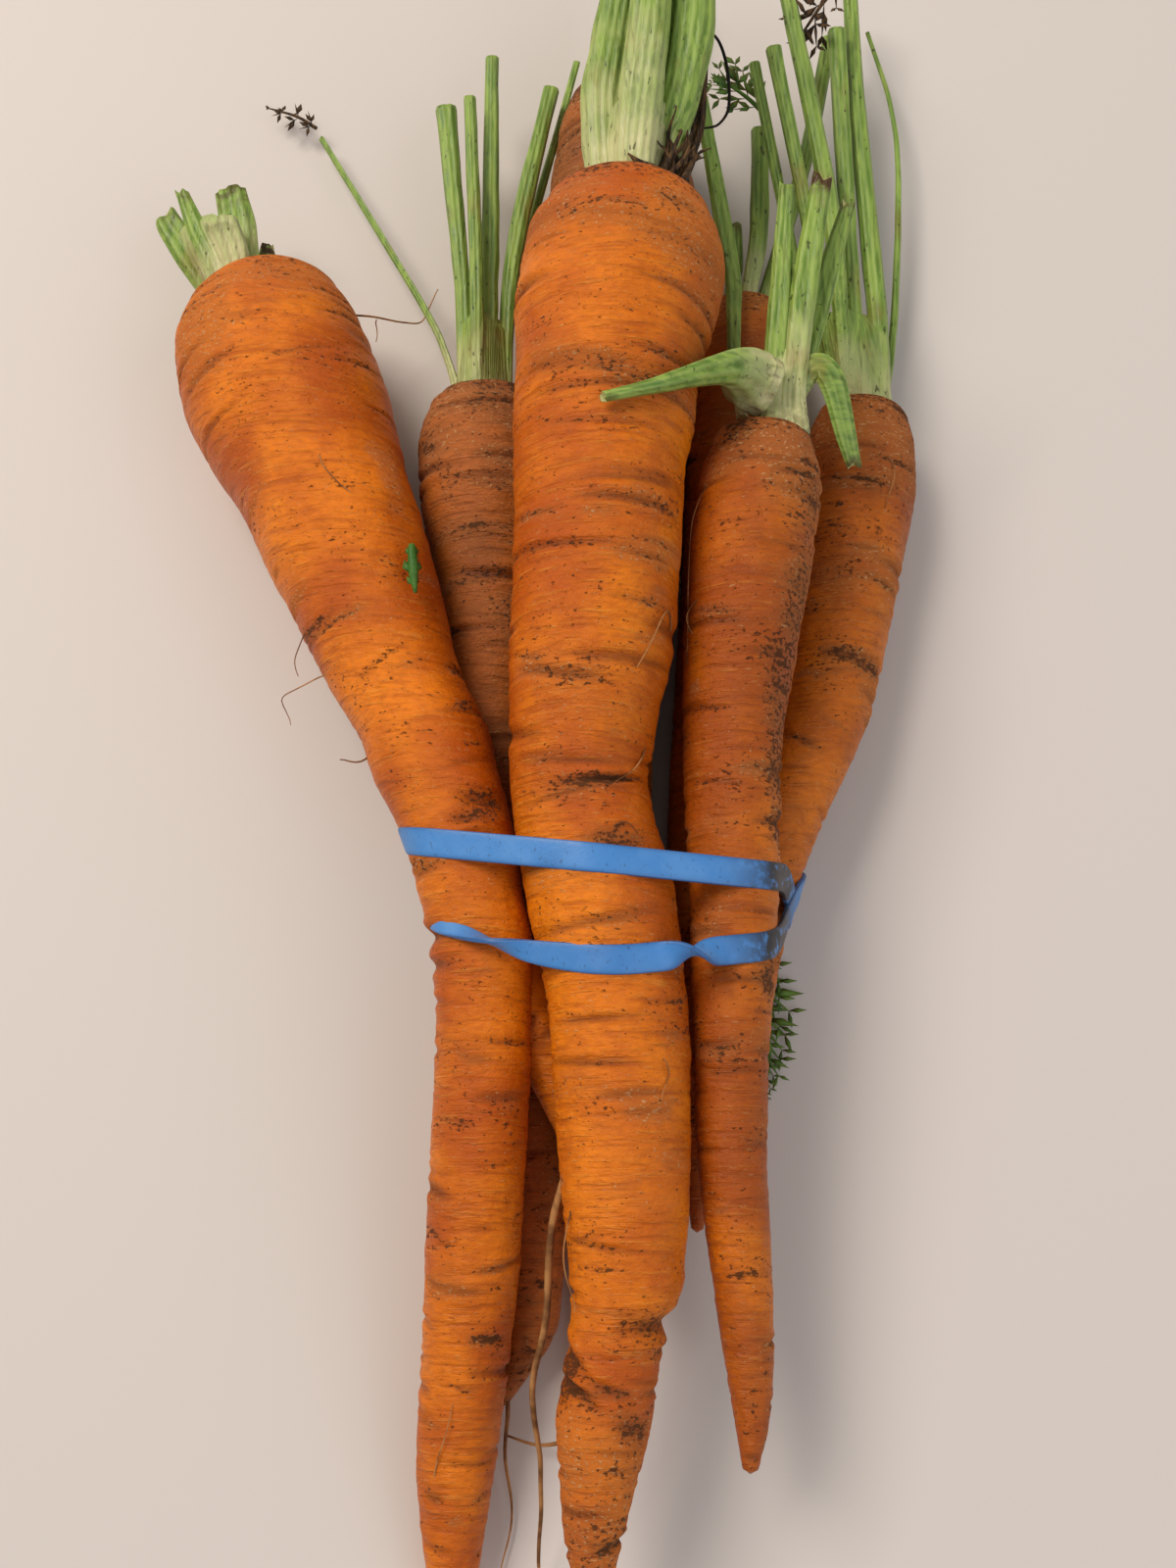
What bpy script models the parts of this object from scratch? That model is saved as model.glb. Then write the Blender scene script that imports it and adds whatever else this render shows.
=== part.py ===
"""Bunch of seven carrots with cut stalks, held by one doubled rubber band.

The bunch lies on a table: +Z is up, the crowns point to +Y and the tips to -Y. The origin is
the middle of the bunch's box, on the table. Tables and named sizes are in millimetres, and the
finished objects are in metres. A station is (x, y, z, radius): a point on a piece's centre line
and the piece's radius there, from the crown end outwards.
"""

import math

import bpy
import numpy as np
from mathutils import Vector

MM = 0.001
ROOT_SIDES = 20
LEG_SIDES = 16
STALK_SIDES = 8
LEAF_SIDES = 6
ROOT_RING_STEP = 9.0
STALK_RING_STEP = 9.0

BAND_WIDTH = 4.2
BAND_THICKNESS = 1.1
BAND_GAP = 0.35
BAND_SAMPLES_PER_TURN = 76
BAND_MIDDLE = np.array([3.0, 20.0])
BAND_CROSSING = math.radians(2.0)
CROSSING_SPREAD = math.radians(17.0)
OVERPASS_EASE = 0.45
VALLEYS = (math.radians(55.0), math.radians(133.0))
TWIST_SPREAD = math.radians(9.0)

# Each strand of the band lies in a slanted plane: y = level + across * x + rise * z.
UPPER_STRAND = {"level": -13.4, "across": -0.10, "rise": -0.20}
LOWER_STRAND = {"level": -20.2, "across": 0.0, "rise": -0.39}

ROOTS = {
    "root_forked": [
        (-58.6, 82.7, 14.7, 11.6), (-56.9, 79.2, 15.1, 14.2), (-52.8, 68.0, 16.8, 16.2),
        (-46.0, 54.0, 17.8, 15.9), (-42.6, 44.5, 19.0, 14.2), (-38.8, 35.0, 20.8, 13.2),
        (-32.4, 18.0, 22.4, 10.9),
        (-27.8, 6.5, 24.2, 9.2), (-23.6, -2.6, 25.6, 9.3), (-20.3, -10.5, 26.2, 8.3),
        (-16.4, -28.5, 25.8, 7.4), (-15.6, -44.0, 23.5, 6.9), (-16.1, -61.0, 19.5, 7.2),
        (-17.6, -85.0, 13.0, 6.8), (-19.5, -105.0, 8.0, 5.8), (-19.9, -120.0, 5.0, 3.9),
        (-19.0, -135.0, 2.6, 0.7),
    ],
    "root_center": [
        (6.1, 80.3, 42.0, 12.8), (6.1, 77.4, 42.0, 14.8), (5.8, 71.0, 42.0, 15.8),
        (3.6, 61.0, 41.5, 15.2), (2.0, 42.0, 40.2, 13.3), (1.2, 23.0, 38.0, 12.7), (0.6, 11.0, 36.5, 12.4),
        (-1.6, -8.5, 32.5, 10.1), (2.0, -26.0, 30.5, 10.8), (4.4, -41.0, 30.0, 9.9),
        (4.9, -57.0, 29.0, 9.6), (5.4, -75.0, 27.0, 8.5), (4.3, -84.0, 26.0, 6.6),
        (1.9, -99.0, 23.5, 6.5), (0.5, -112.0, 21.5, 4.1), (1.3, -129.0, 19.0, 0.6),
    ],
    "root_muddy": [
        (-18.1, 63.4, 12.0, 8.9), (-17.7, 55.4, 12.0, 11.6), (-16.7, 38.0, 11.0, 10.2),
        (-16.3, 22.5, 10.2, 9.3), (-15.9, 5.5, 9.6, 8.2), (-15.2, -11.0, 9.2, 7.2),
        (-13.9, -26.5, 8.4, 6.5), (-11.8, -42.0, 7.6, 5.9), (-9.3, -57.0, 7.1, 5.5),
        (-8.2, -73.0, 6.7, 5.1), (-8.6, -86.0, 6.0, 4.3), (-13.5, -98.0, 4.5, 0.9),
    ],
    "root_small": [
        (27.9, 49.4, 33.0, 5.2), (27.8, 47.4, 33.0, 7.0), (26.9, 39.4, 33.0, 9.6),
        (25.0, 27.0, 32.2, 9.6), (23.3, 15.0, 31.0, 8.9), (22.0, 3.0, 29.6, 7.7),
        (21.8, -15.0, 28.2, 7.0), (21.0, -39.5, 27.2, 5.9), (20.6, -62.0, 25.2, 5.0),
        (22.5, -85.5, 22.0, 4.0),
        (23.1, -98.0, 20.6, 2.5), (22.6, -105.5, 19.5, 0.8),
    ],
    "root_right": [
        (48.1, 63.0, 9.8, 6.8), (46.7, 53.0, 10.0, 9.7), (43.9, 39.5, 10.1, 9.5),
        (41.1, 23.0, 10.7, 8.6), (38.5, 11.0, 12.0, 7.8), (34.4, -0.5, 14.0, 6.9),
        (30.1, -10.0, 15.6, 6.2), (26.6, -22.0, 16.4, 5.3), (23.4, -42.0, 15.6, 4.2),
        (22.2, -60.0, 14.4, 3.0), (22.1, -75.0, 13.0, 0.7),
    ],
    "root_long": [
        (6.0, 123.0, 13.0, 8.0), (6.0, 112.0, 13.0, 12.1), (6.0, 98.0, 13.0, 12.8),
        (6.1, 75.0, 12.6, 12.0), (5.4, 48.5, 11.8, 10.8), (3.4, 22.0, 11.2, 9.4),
        (2.0, -3.0, 10.4, 8.2), (2.6, -19.0, 9.4, 7.4), (3.6, -42.0, 7.9, 6.1),
        (3.9, -64.5, 6.3, 4.5), (2.6, -84.0, 4.6, 2.6), (-1.5, -100.0, 3.4, 0.7),
    ],
    "root_hidden": [
        (27.3, 82.0, 9.0, 5.9), (27.5, 73.5, 9.0, 8.6), (26.8, 62.0, 9.1, 8.8),
        (25.0, 41.0, 8.8, 7.7), (22.4, 14.5, 8.6, 6.7), (19.5, -10.5, 8.0, 5.7),
        (18.3, -26.5, 7.3, 5.1), (17.4, -50.0, 6.4, 3.7), (16.8, -73.0, 4.8, 0.7),
    ],
}

# The forked root's second leg starts inside the main leg and runs under the center root.
SECOND_LEG = [
    (-16.4, -24.0, 25.0, 4.8), (-14.0, -30.5, 23.0, 5.6), (-9.6, -39.0, 20.3, 4.9),
    (-5.9, -47.5, 18.0, 4.0), (-1.5, -57.5, 15.8, 3.3), (2.2, -69.0, 13.8, 2.4),
    (5.6, -83.0, 11.8, 0.6),
]

# The shoulder closes over the crown in these rings: (advance, radius) as parts of the first radius.
SHOULDER_RINGS = [(0.26, 0.34), (0.29, 0.56), (0.19, 0.84)]
CROWN_DIP = 0.16

STALKS = {
    "stalk_forked_1": [(-65.1, 85.5, 13.4, 1.4), (-69.8, 92.5, 14.5, 1.9), (-75.0, 99.5, 15.5, 1.4)],
    "stalk_forked_2": [(-63.5, 86.3, 17.6, 1.2), (-67.4, 93.5, 19.0, 1.4), (-71.6, 104.0, 20.0, 0.6)],
    "stalk_forked_3": [(-60.1, 87.7, 18.6, 1.3), (-62.9, 94.0, 20.2, 1.8), (-65.2, 98.5, 21.2, 1.4)],
    "stalk_forked_4": [(-59.5, 88.4, 14.2, 1.5), (-61.2, 96.5, 15.4, 2.3), (-63.6, 106.5, 16.5, 1.7)],
    "stalk_forked_5": [(-56.9, 88.9, 10.6, 0.9), (-57.2, 95.0, 10.6, 1.2), (-56.4, 99.0, 10.4, 0.7)],
    "stalk_center_1": [(3.2, 85.3, 41.6, 2.0), (2.5, 94.0, 42.0, 2.4), (2.4, 102.5, 42.6, 2.7),
                       (5.4, 121.0, 44.6, 2.3), (7.1, 146.0, 46.0, 1.9)],
    "stalk_center_2": [(7.0, 85.3, 44.8, 2.0), (7.6, 93.0, 46.6, 2.4), (8.3, 99.0, 48.4, 2.5),
                       (10.0, 114.0, 50.6, 2.4), (11.2, 140.0, 52.0, 1.9)],
    "stalk_center_3": [(10.4, 85.3, 41.0, 1.8), (12.2, 94.0, 42.0, 2.2), (14.4, 101.0, 43.6, 2.6),
                       (16.2, 111.0, 45.6, 2.9), (18.5, 146.0, 48.0, 2.1)],
    "stalk_center_4": [(6.6, 85.3, 38.0, 1.6), (7.1, 95.0, 37.2, 1.9), (7.8, 108.0, 37.0, 2.1),
                       (10.2, 142.0, 39.4, 1.6)],
    "dry_sheath_center": [(13.4, 85.5, 38.4, 0.7), (15.6, 93.0, 37.8, 1.0), (17.8, 100.0, 37.2, 1.0),
                          (19.6, 121.0, 37.4, 0.5)],
    "dry_curl_center": [(19.6, 93.4, 35.6, 0.4), (22.9, 105.5, 34.4, 0.5), (23.2, 112.0, 35.6, 0.5),
                        (20.9, 121.5, 34.4, 0.5)],
    "stalk_muddy_1": [(-21.0, 67.0, 13.4, 1.4), (-21.9, 86.0, 14.0, 1.4), (-23.4, 101.0, 15.0, 1.6),
                      (-25.5, 121.5, 15.6, 1.9)],
    "stalk_muddy_2": [(-18.8, 66.9, 16.6, 1.1), (-19.2, 86.0, 18.0, 1.2), (-21.0, 121.5, 18.6, 1.1)],
    "stalk_muddy_3": [(-17.2, 67.1, 13.2, 1.3), (-17.2, 92.0, 14.0, 1.6), (-17.4, 132.5, 15.4, 1.2)],
    "stalk_muddy_4": [(-14.4, 66.9, 11.4, 1.2), (-14.1, 84.0, 12.0, 1.4), (-12.2, 99.0, 13.2, 1.6),
                      (-6.6, 127.5, 13.4, 1.4)],
    "stalk_muddy_5": [(-15.4, 67.2, 7.8, 0.7), (-13.4, 87.0, 8.4, 0.8), (-9.9, 103.0, 9.2, 0.8),
                      (-5.9, 119.5, 9.4, 0.7), (-1.8, 137.0, 9.8, 0.6)],
    "dry_stalk_muddy": [(-22.4, 66.8, 9.8, 0.7), (-26.4, 80.0, 8.6, 0.6), (-36.0, 98.5, 6.6, 0.6),
                        (-50.0, 124.0, 4.4, 0.5)],
    "stalk_small_1": [(28.4, 52.0, 36.4, 1.4), (29.8, 66.0, 38.4, 1.5), (31.4, 87.0, 41.0, 0.9)],
    "stalk_small_2": [(31.8, 51.8, 36.4, 1.3), (33.6, 68.5, 39.4, 1.6), (37.2, 89.0, 41.6, 1.1)],
    "stalk_small_3": [(31.8, 51.8, 32.4, 1.1), (36.6, 69.5, 35.0, 1.5), (41.9, 87.0, 36.4, 0.8)],
    "broken_stalk_left": [(25.2, 52.2, 35.8, 1.3), (24.8, 55.4, 40.4, 1.6), (21.2, 52.6, 46.0, 1.8),
                          (15.9, 48.6, 50.6, 1.5), (9.7, 44.6, 54.0, 1.0), (1.9, 42.0, 55.4, 0.7)],
    "broken_stalk_right": [(33.6, 50.5, 34.8, 1.0), (36.0, 56.0, 36.4, 1.3), (38.9, 57.4, 36.4, 1.4),
                           (40.9, 52.5, 34.0, 1.5), (42.4, 45.6, 28.0, 1.0)],
    "outer_stalk_small": [(24.4, 52.4, 30.6, 0.8), (23.9, 67.4, 25.6, 1.1), (24.6, 80.0, 22.8, 1.4),
                          (22.8, 95.5, 21.4, 1.5), (19.9, 120.0, 20.0, 1.2)],
    "stalk_right_1": [(47.6, 66.5, 13.2, 1.3), (46.2, 82.0, 13.6, 1.5), (45.2, 138.0, 16.0, 1.6)],
    "stalk_right_2": [(50.8, 66.5, 11.8, 1.4), (50.6, 82.0, 12.2, 1.8), (48.8, 122.0, 13.0, 1.6),
                      (48.6, 152.0, 13.0, 1.3)],
    "stalk_right_3": [(51.8, 66.5, 7.6, 0.7), (54.6, 84.0, 7.6, 0.7), (57.0, 122.0, 7.0, 0.5),
                      (52.4, 146.0, 7.0, 0.4)],
    "stalk_right_4": [(44.4, 66.5, 12.2, 1.0), (43.0, 84.0, 18.0, 1.5), (41.4, 101.0, 20.4, 1.6),
                      (35.4, 142.0, 21.6, 1.5)],
    "stalk_right_5": [(43.6, 66.5, 9.2, 0.9), (40.0, 84.0, 15.8, 1.2), (37.2, 99.0, 20.8, 1.2),
                      (32.3, 127.5, 24.4, 1.4)],
    "stalk_right_6": [(44.6, 66.5, 6.4, 0.8), (38.0, 84.0, 12.0, 1.0), (34.4, 98.0, 17.0, 1.0),
                      (29.4, 127.0, 20.6, 1.0)],
    "stalk_long_1": [(3.6, 126.4, 14.0, 1.5), (5.0, 137.0, 15.0, 1.6), (7.2, 152.5, 16.0, 1.4)],
    "stalk_long_2": [(8.2, 126.4, 12.6, 1.5), (10.4, 140.0, 12.6, 1.6), (12.5, 157.5, 13.0, 1.5)],
    "stalk_hidden_1": [(28.0, 84.6, 10.6, 1.4), (30.4, 97.0, 11.2, 1.7), (31.2, 119.5, 12.0, 1.6)],
    "stalk_hidden_2": [(30.2, 84.6, 7.0, 1.1), (35.4, 100.5, 7.4, 1.4), (40.5, 119.0, 7.8, 1.4),
                       (45.4, 143.0, 8.0, 1.4)],
    "stalk_hidden_3": [(24.8, 84.8, 8.4, 1.0), (26.6, 93.5, 8.6, 1.3), (26.6, 102.0, 9.0, 1.1)],
}

# A leaf is a flat sweep whose half width swings between its leaflets' tips and the gaps.
LEAFLET_STEP = 1.6
LEAFLET_GAP = 0.45
LEAF_THICKNESS = 1.0
LEAVES = {
    "frond_small": [(26.8, -27.5, 1.4, 0.9), (29.6, -33.5, 1.2, 3.4), (31.0, -42.0, 1.2, 3.6),
                    (29.8, -52.0, 1.2, 0.8)],
    "frond_hidden": [(30.6, 122.8, 13.6, 1.0), (27.4, 124.8, 15.4, 3.2), (22.8, 127.0, 16.0, 0.8)],
    "dry_leaf_right": [(44.6, 142.0, 21.2, 0.9), (41.6, 139.6, 19.2, 3.2), (38.2, 134.0, 17.0, 0.8)],
    "dry_leaf_muddy": [(-51.4, 126.6, 4.2, 0.9), (-55.6, 129.4, 4.4, 2.2), (-60.0, 128.8, 4.2, 0.7)],
    "leaf_scrap_forked": [(-27.2, 28.5, 34.2, 0.8), (-26.4, 25.0, 33.6, 1.3), (-26.2, 21.5, 32.6, 0.6)],
}

MUDDY_ROOTS = ("root_muddy", "root_long")

# Each material's colour and roughness.
LOOKS = {
    "carrot": ((0.80, 0.25, 0.035), 0.55),
    "muddy_carrot": ((0.56, 0.22, 0.055), 0.75),
    "stalk": ((0.38, 0.45, 0.13), 0.50),
    "dry": ((0.13, 0.075, 0.035), 0.85),
    "frond": ((0.10, 0.22, 0.04), 0.60),
    "rubber": ((0.045, 0.19, 0.52), 0.60),
}


def make_material(name, color, roughness):
    """A Principled material with one colour and roughness, not metallic."""
    material = bpy.data.materials.new(name)
    material.use_nodes = True
    shader = material.node_tree.nodes["Principled BSDF"]
    shader.inputs["Base Color"].default_value = (*color, 1.0)
    shader.inputs["Roughness"].default_value = roughness
    shader.inputs["Metallic"].default_value = 0.0
    return material


def smooth_path(stations, step):
    """Points on a Catmull-Rom curve through the stations, about one for each step of length."""
    points = np.array(stations, dtype=float)
    before = 2.0 * points[0] - points[1]
    after = 2.0 * points[-1] - points[-2]
    padded = np.vstack([before, points, after])
    path = []
    for i in range(1, len(padded) - 2):
        p0, p1, p2, p3 = padded[i - 1:i + 3]
        count = max(1, round(np.linalg.norm(p2[:3] - p1[:3]) / step))
        for t in np.arange(count) / count:
            path.append(0.5 * (2.0 * p1 + (p2 - p0) * t
                               + (2.0 * p0 - 5.0 * p1 + 4.0 * p2 - p3) * t**2
                               + (3.0 * p1 - p0 - 3.0 * p2 + p3) * t**3))
    path.append(points[-1])
    return np.array(path)


def frames_along(path):
    """Unit tangent, sideways and upward directions at each point of a path."""
    tangent = np.gradient(path, axis=0)
    tangent /= np.linalg.norm(tangent, axis=1)[:, None]
    side = np.cross((0.0, 0.0, 1.0), tangent)
    side /= np.linalg.norm(side, axis=1)[:, None]
    return tangent, side, np.cross(tangent, side)


def rings_around(path, sides, thickness=None):
    """One ring of points for each row of the path: round, or flat where a thickness is given."""
    _, side, up = frames_along(path[:, :3])
    angle = 2.0 * math.pi * np.arange(sides) / sides
    half_width = path[:, 3]
    half_height = half_width if thickness is None else np.minimum(half_width, thickness / 2.0)
    across = half_width[:, None, None] * np.cos(angle)[None, :, None] * side[:, None, :]
    upward = half_height[:, None, None] * np.sin(angle)[None, :, None] * up[:, None, :]
    return path[:, None, :3] + across + upward


def add_shoulder(rings, path):
    """The rings with those that close the root over its crown put before them, and the dip's centre."""
    centre = path[0, :3]
    outward = (centre - path[1, :3]) / np.linalg.norm(centre - path[1, :3]) * path[0, 3]
    shoulder = [centre + part * (rings[0] - centre) + advance * outward for advance, part in SHOULDER_RINGS]
    return np.vstack([shoulder, rings]), centre + CROWN_DIP * outward


def mesh_object(name, points, faces, material):
    """A smooth shaded object from points in millimetres, with its origin at their middle."""
    centre = (points.min(axis=0) + points.max(axis=0)) / 2.0
    mesh = bpy.data.meshes.new(name)
    mesh.from_pydata(((points - centre) * MM).tolist(), [], faces)
    mesh.materials.append(material)
    mesh.shade_smooth()
    piece = bpy.data.objects.new(name, mesh)
    piece.location = centre * MM
    bpy.context.collection.objects.link(piece)
    return piece


def tube(name, rings, start, end, material):
    """A closed tube over the rings, with a fan of triangles to the start and end points."""
    rows, sides = rings.shape[:2]
    points = np.vstack([rings.reshape(-1, 3), start, end])
    first, last = rows * sides, rows * sides + 1
    faces = []
    for j in range(sides):
        k = (j + 1) % sides
        faces.append((first, k, j))
        faces.append((last, (rows - 1) * sides + j, (rows - 1) * sides + k))
        for i in range(rows - 1):
            faces.append((i * sides + j, i * sides + k, (i + 1) * sides + k, (i + 1) * sides + j))
    return mesh_object(name, points, faces, material)


def end_points(path):
    """The tips of a tube: a third of its end radius beyond each end of the path."""
    tangent, _, _ = frames_along(path[:, :3])
    return path[0, :3] - tangent[0] * path[0, 3] / 3.0, path[-1, :3] + tangent[-1] * path[-1, 3] / 3.0


def make_stalk(name, stations, material):
    """A round stalk, stub or thread."""
    path = smooth_path(stations, STALK_RING_STEP)
    return tube(name, rings_around(path, STALK_SIDES), *end_points(path), material)


def make_leaf(name, stations, material):
    """A flat leaf with pointed leaflets on both sides."""
    path = smooth_path(stations, LEAFLET_STEP)
    path[1:-1:2, 3] *= LEAFLET_GAP
    return tube(name, rings_around(path, LEAF_SIDES, LEAF_THICKNESS), *end_points(path), material)


def make_root(name, stations, material):
    """A carrot's root: shoulder, tapering body and tip."""
    path = smooth_path(stations, ROOT_RING_STEP)
    rings, dip = add_shoulder(rings_around(path, ROOT_SIDES), path)
    return tube(name, rings, dip, end_points(path)[1], material)


def join_second_leg(root, material):
    """Union of the forked root with its second leg."""
    path = smooth_path(SECOND_LEG, ROOT_RING_STEP)
    leg = tube("second_leg", rings_around(path, LEG_SIDES), *end_points(path), material)
    leg.hide_render = True
    leg.display_type = "WIRE"
    union = root.modifiers.new("second_leg", "BOOLEAN")
    union.operation = "UNION"
    union.solver = "EXACT"
    union.object = leg


def section(rings, plane, shift):
    """Flat (x, z) points where the lines along a root cross a slanted plane, shifted along +Y."""
    depth = (rings[..., 1] - plane["level"] - shift - plane["across"] * rings[..., 0]
             - plane["rise"] * rings[..., 2])
    row, column = np.nonzero(depth[:-1] * depth[1:] < 0.0)
    start, end = rings[row, column], rings[row + 1, column]
    part = depth[row, column] / (depth[row, column] - depth[row + 1, column])
    return (start + part[:, None] * (end - start))[:, (0, 2)]


def turns_left(a, b, c):
    """Whether the way from a over b to c turns anticlockwise."""
    return (b[0] - a[0]) * (c[1] - b[1]) - (b[1] - a[1]) * (c[0] - b[0]) > 0.0


def convex_hull(points):
    """The corners of the convex outline round flat points, anticlockwise."""
    ordered = sorted(map(tuple, points))
    corners = []
    for sequence in (ordered, ordered[::-1]):
        chain = []
        for point in sequence:
            while len(chain) > 1 and not turns_left(chain[-2], chain[-1], point):
                chain.pop()
            chain.append(point)
        corners += chain[:-1]
    return np.array(corners)


def strand_outline(plane, ring_sets, angle):
    """A strand's path round the bunch: the convex outline of the roots' sections under the band's
    width, pushed out by the gap and half its thickness, and read at each angle round its middle."""
    circle = 2.0 * math.pi * np.arange(24) / 24
    offset = (BAND_GAP + BAND_THICKNESS / 2.0) * np.stack([np.cos(circle), np.sin(circle)], axis=1)
    cuts = np.vstack([section(rings, plane, shift) for rings in ring_sets
                      for shift in (-BAND_WIDTH / 2.0, 0.0, BAND_WIDTH / 2.0)])
    hull = convex_hull((cuts[:, None, :] + offset[None, :, :]).reshape(-1, 2))
    following = np.roll(hull, -1, axis=0)
    outline = np.vstack([hull + (following - hull) * part for part in np.arange(16) / 16]) - BAND_MIDDLE
    polar = np.arctan2(outline[:, 1], outline[:, 0])
    order = np.argsort(polar)
    radius = np.interp(angle, polar[order], np.linalg.norm(outline, axis=1)[order], period=2.0 * math.pi)
    x = BAND_MIDDLE[0] + radius * np.cos(angle)
    z = BAND_MIDDLE[1] + radius * np.sin(angle)
    return np.stack([x, plane["level"] + plane["across"] * x + plane["rise"] * z, z], axis=1)


def smooth_step(value):
    """Rises smoothly from 0 to 1 as the value goes from -1 to 1."""
    value = (np.clip(value, -1.0, 1.0) + 1.0) / 2.0
    return value * value * (3.0 - 2.0 * value)


def make_band(ring_sets, material):
    """The rubber band, one closed ribbon wound twice round the roots. Its two strands change places at
    the crossing, where one passes over the other, and the lower strand flips over in two valleys."""
    full_turn = 2.0 * math.pi
    turned = 2.0 * full_turn * np.arange(2 * BAND_SAMPLES_PER_TURN) / (2 * BAND_SAMPLES_PER_TURN)
    angle = BAND_CROSSING + turned
    to_upper = (smooth_step(turned / CROSSING_SPREAD) - smooth_step((turned - full_turn) / CROSSING_SPREAD)
                + smooth_step((turned - 2.0 * full_turn) / CROSSING_SPREAD))[:, None]
    centre = (to_upper * strand_outline(UPPER_STRAND, ring_sets, angle)
              + (1.0 - to_upper) * strand_outline(LOWER_STRAND, ring_sets, angle))
    tangent = np.roll(centre, -1, axis=0) - np.roll(centre, 1, axis=0)
    tangent /= np.linalg.norm(tangent, axis=1)[:, None]
    outward = np.cross((0.0, 1.0, 0.0), tangent)
    outward /= np.linalg.norm(outward, axis=1)[:, None]
    across = np.cross(tangent, outward)
    over = 1.0 - smooth_step((abs(turned - full_turn) / CROSSING_SPREAD - 1.0) / OVERPASS_EASE)
    centre += over[:, None] * (BAND_THICKNESS + BAND_GAP) * outward
    first_flip, second_flip = (full_turn + valley - BAND_CROSSING for valley in VALLEYS)
    twist = math.pi * (smooth_step((turned - first_flip) / TWIST_SPREAD)
                       - smooth_step((turned - second_flip) / TWIST_SPREAD))[:, None]
    thick = BAND_THICKNESS / 2.0 * (np.cos(twist) * outward + np.sin(twist) * across)
    wide = BAND_WIDTH / 2.0 * (np.cos(twist) * across - np.sin(twist) * outward)
    corners = np.stack([centre + thick + wide, centre - thick + wide,
                        centre - thick - wide, centre + thick - wide], axis=1)
    rows = len(corners)
    faces = [(4 * i + j, 4 * i + (j + 1) % 4, 4 * ((i + 1) % rows) + (j + 1) % 4, 4 * ((i + 1) % rows) + j)
             for i in range(rows) for j in range(4)]
    return mesh_object("rubber_band", corners.reshape(-1, 3), faces, material)


def stand_on_origin(pieces):
    """Moves everything so that the box round the pieces stands with its bottom centre on the origin."""
    points = np.vstack([np.array([piece.matrix_world @ vertex.co for vertex in piece.data.vertices])
                        for piece in pieces])
    low, high = points.min(axis=0), points.max(axis=0)
    shift = Vector(((low[0] + high[0]) / 2.0, (low[1] + high[1]) / 2.0, low[2]))
    for piece in bpy.data.objects:
        piece.location -= shift


def main():
    for item in list(bpy.data.objects):
        bpy.data.objects.remove(item)
    materials = {name: make_material(name, *look) for name, look in LOOKS.items()}
    pieces = []
    ring_sets = []
    for name, stations in ROOTS.items():
        material = materials["muddy_carrot" if name in MUDDY_ROOTS else "carrot"]
        pieces.append(make_root(name, stations, material))
        ring_sets.append(rings_around(smooth_path(stations, ROOT_RING_STEP), ROOT_SIDES))
    join_second_leg(pieces[0], materials["carrot"])
    pieces.append(make_band(ring_sets, materials["rubber"]))
    for name, stations in STALKS.items():
        pieces.append(make_stalk(name, stations, materials["dry" if name.startswith("dry") else "stalk"]))
    for name, stations in LEAVES.items():
        pieces.append(make_leaf(name, stations, materials["dry" if name.startswith("dry") else "frond"]))
    bpy.context.view_layer.update()
    stand_on_origin(pieces)


main()
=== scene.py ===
"""A bunch of seven carrots with cut stalks in a doubled blue rubber band, lying on a pale table.

Lengths in the tables are millimetres, and `down` is the distance along -Y from a root's crown end.
An angle round a root is 0 at its +X side, 90 degrees on top and 180 degrees at its -X side.
"""

import math

import bpy
import numpy as np
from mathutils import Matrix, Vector


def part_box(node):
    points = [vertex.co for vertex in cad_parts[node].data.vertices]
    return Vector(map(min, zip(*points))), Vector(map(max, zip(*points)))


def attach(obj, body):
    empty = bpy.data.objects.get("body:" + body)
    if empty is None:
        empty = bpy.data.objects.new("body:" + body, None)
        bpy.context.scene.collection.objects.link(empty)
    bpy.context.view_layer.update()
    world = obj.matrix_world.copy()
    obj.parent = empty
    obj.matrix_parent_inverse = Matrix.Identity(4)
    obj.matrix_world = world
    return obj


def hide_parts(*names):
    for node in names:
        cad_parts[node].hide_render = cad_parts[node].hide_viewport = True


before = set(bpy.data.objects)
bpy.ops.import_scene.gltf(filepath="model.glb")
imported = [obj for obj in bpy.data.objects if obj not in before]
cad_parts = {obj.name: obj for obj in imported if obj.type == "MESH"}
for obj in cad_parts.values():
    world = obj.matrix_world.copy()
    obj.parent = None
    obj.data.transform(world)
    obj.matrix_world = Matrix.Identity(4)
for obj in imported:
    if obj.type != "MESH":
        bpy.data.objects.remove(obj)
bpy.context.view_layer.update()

MM = 0.001
TURN = 2.0 * math.pi
COARSE = 1.0


# ---------------------------------------------------------------- numbers and curves

def fade(value):
    """Rises smoothly from 0 to 1 while the value goes from 0 to 1: v * v * (3 - 2 * v)."""
    value = np.clip(value, 0.0, 1.0)
    return value * value * (3.0 - 2.0 * value)


def bell(value):
    """A smooth bump: 1 at 0, falling as exp(-v * v)."""
    return np.exp(-np.square(value))


def lattice_noise(along, around, cells, seed):
    """Smooth heights from -1 to 1: random values on a square lattice, joined by the fade curve.
    `around` runs from 0 to 1 and the lattice repeats after `cells` cells round it."""
    rng = np.random.default_rng(seed)
    along = along - along.min()
    heights = rng.uniform(-1.0, 1.0, (int(along.max()) + 3, cells))
    across = np.mod(around, 1.0) * cells
    row, column = np.floor(along).astype(int), np.floor(across).astype(int) % cells
    part_row, part_column = fade(along - row), fade(across - np.floor(across))
    following = (column + 1) % cells
    near = heights[row, column] * (1.0 - part_column) + heights[row, following] * part_column
    far = heights[row + 1, column] * (1.0 - part_column) + heights[row + 1, following] * part_column
    return near * (1.0 - part_row) + far * part_row


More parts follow.
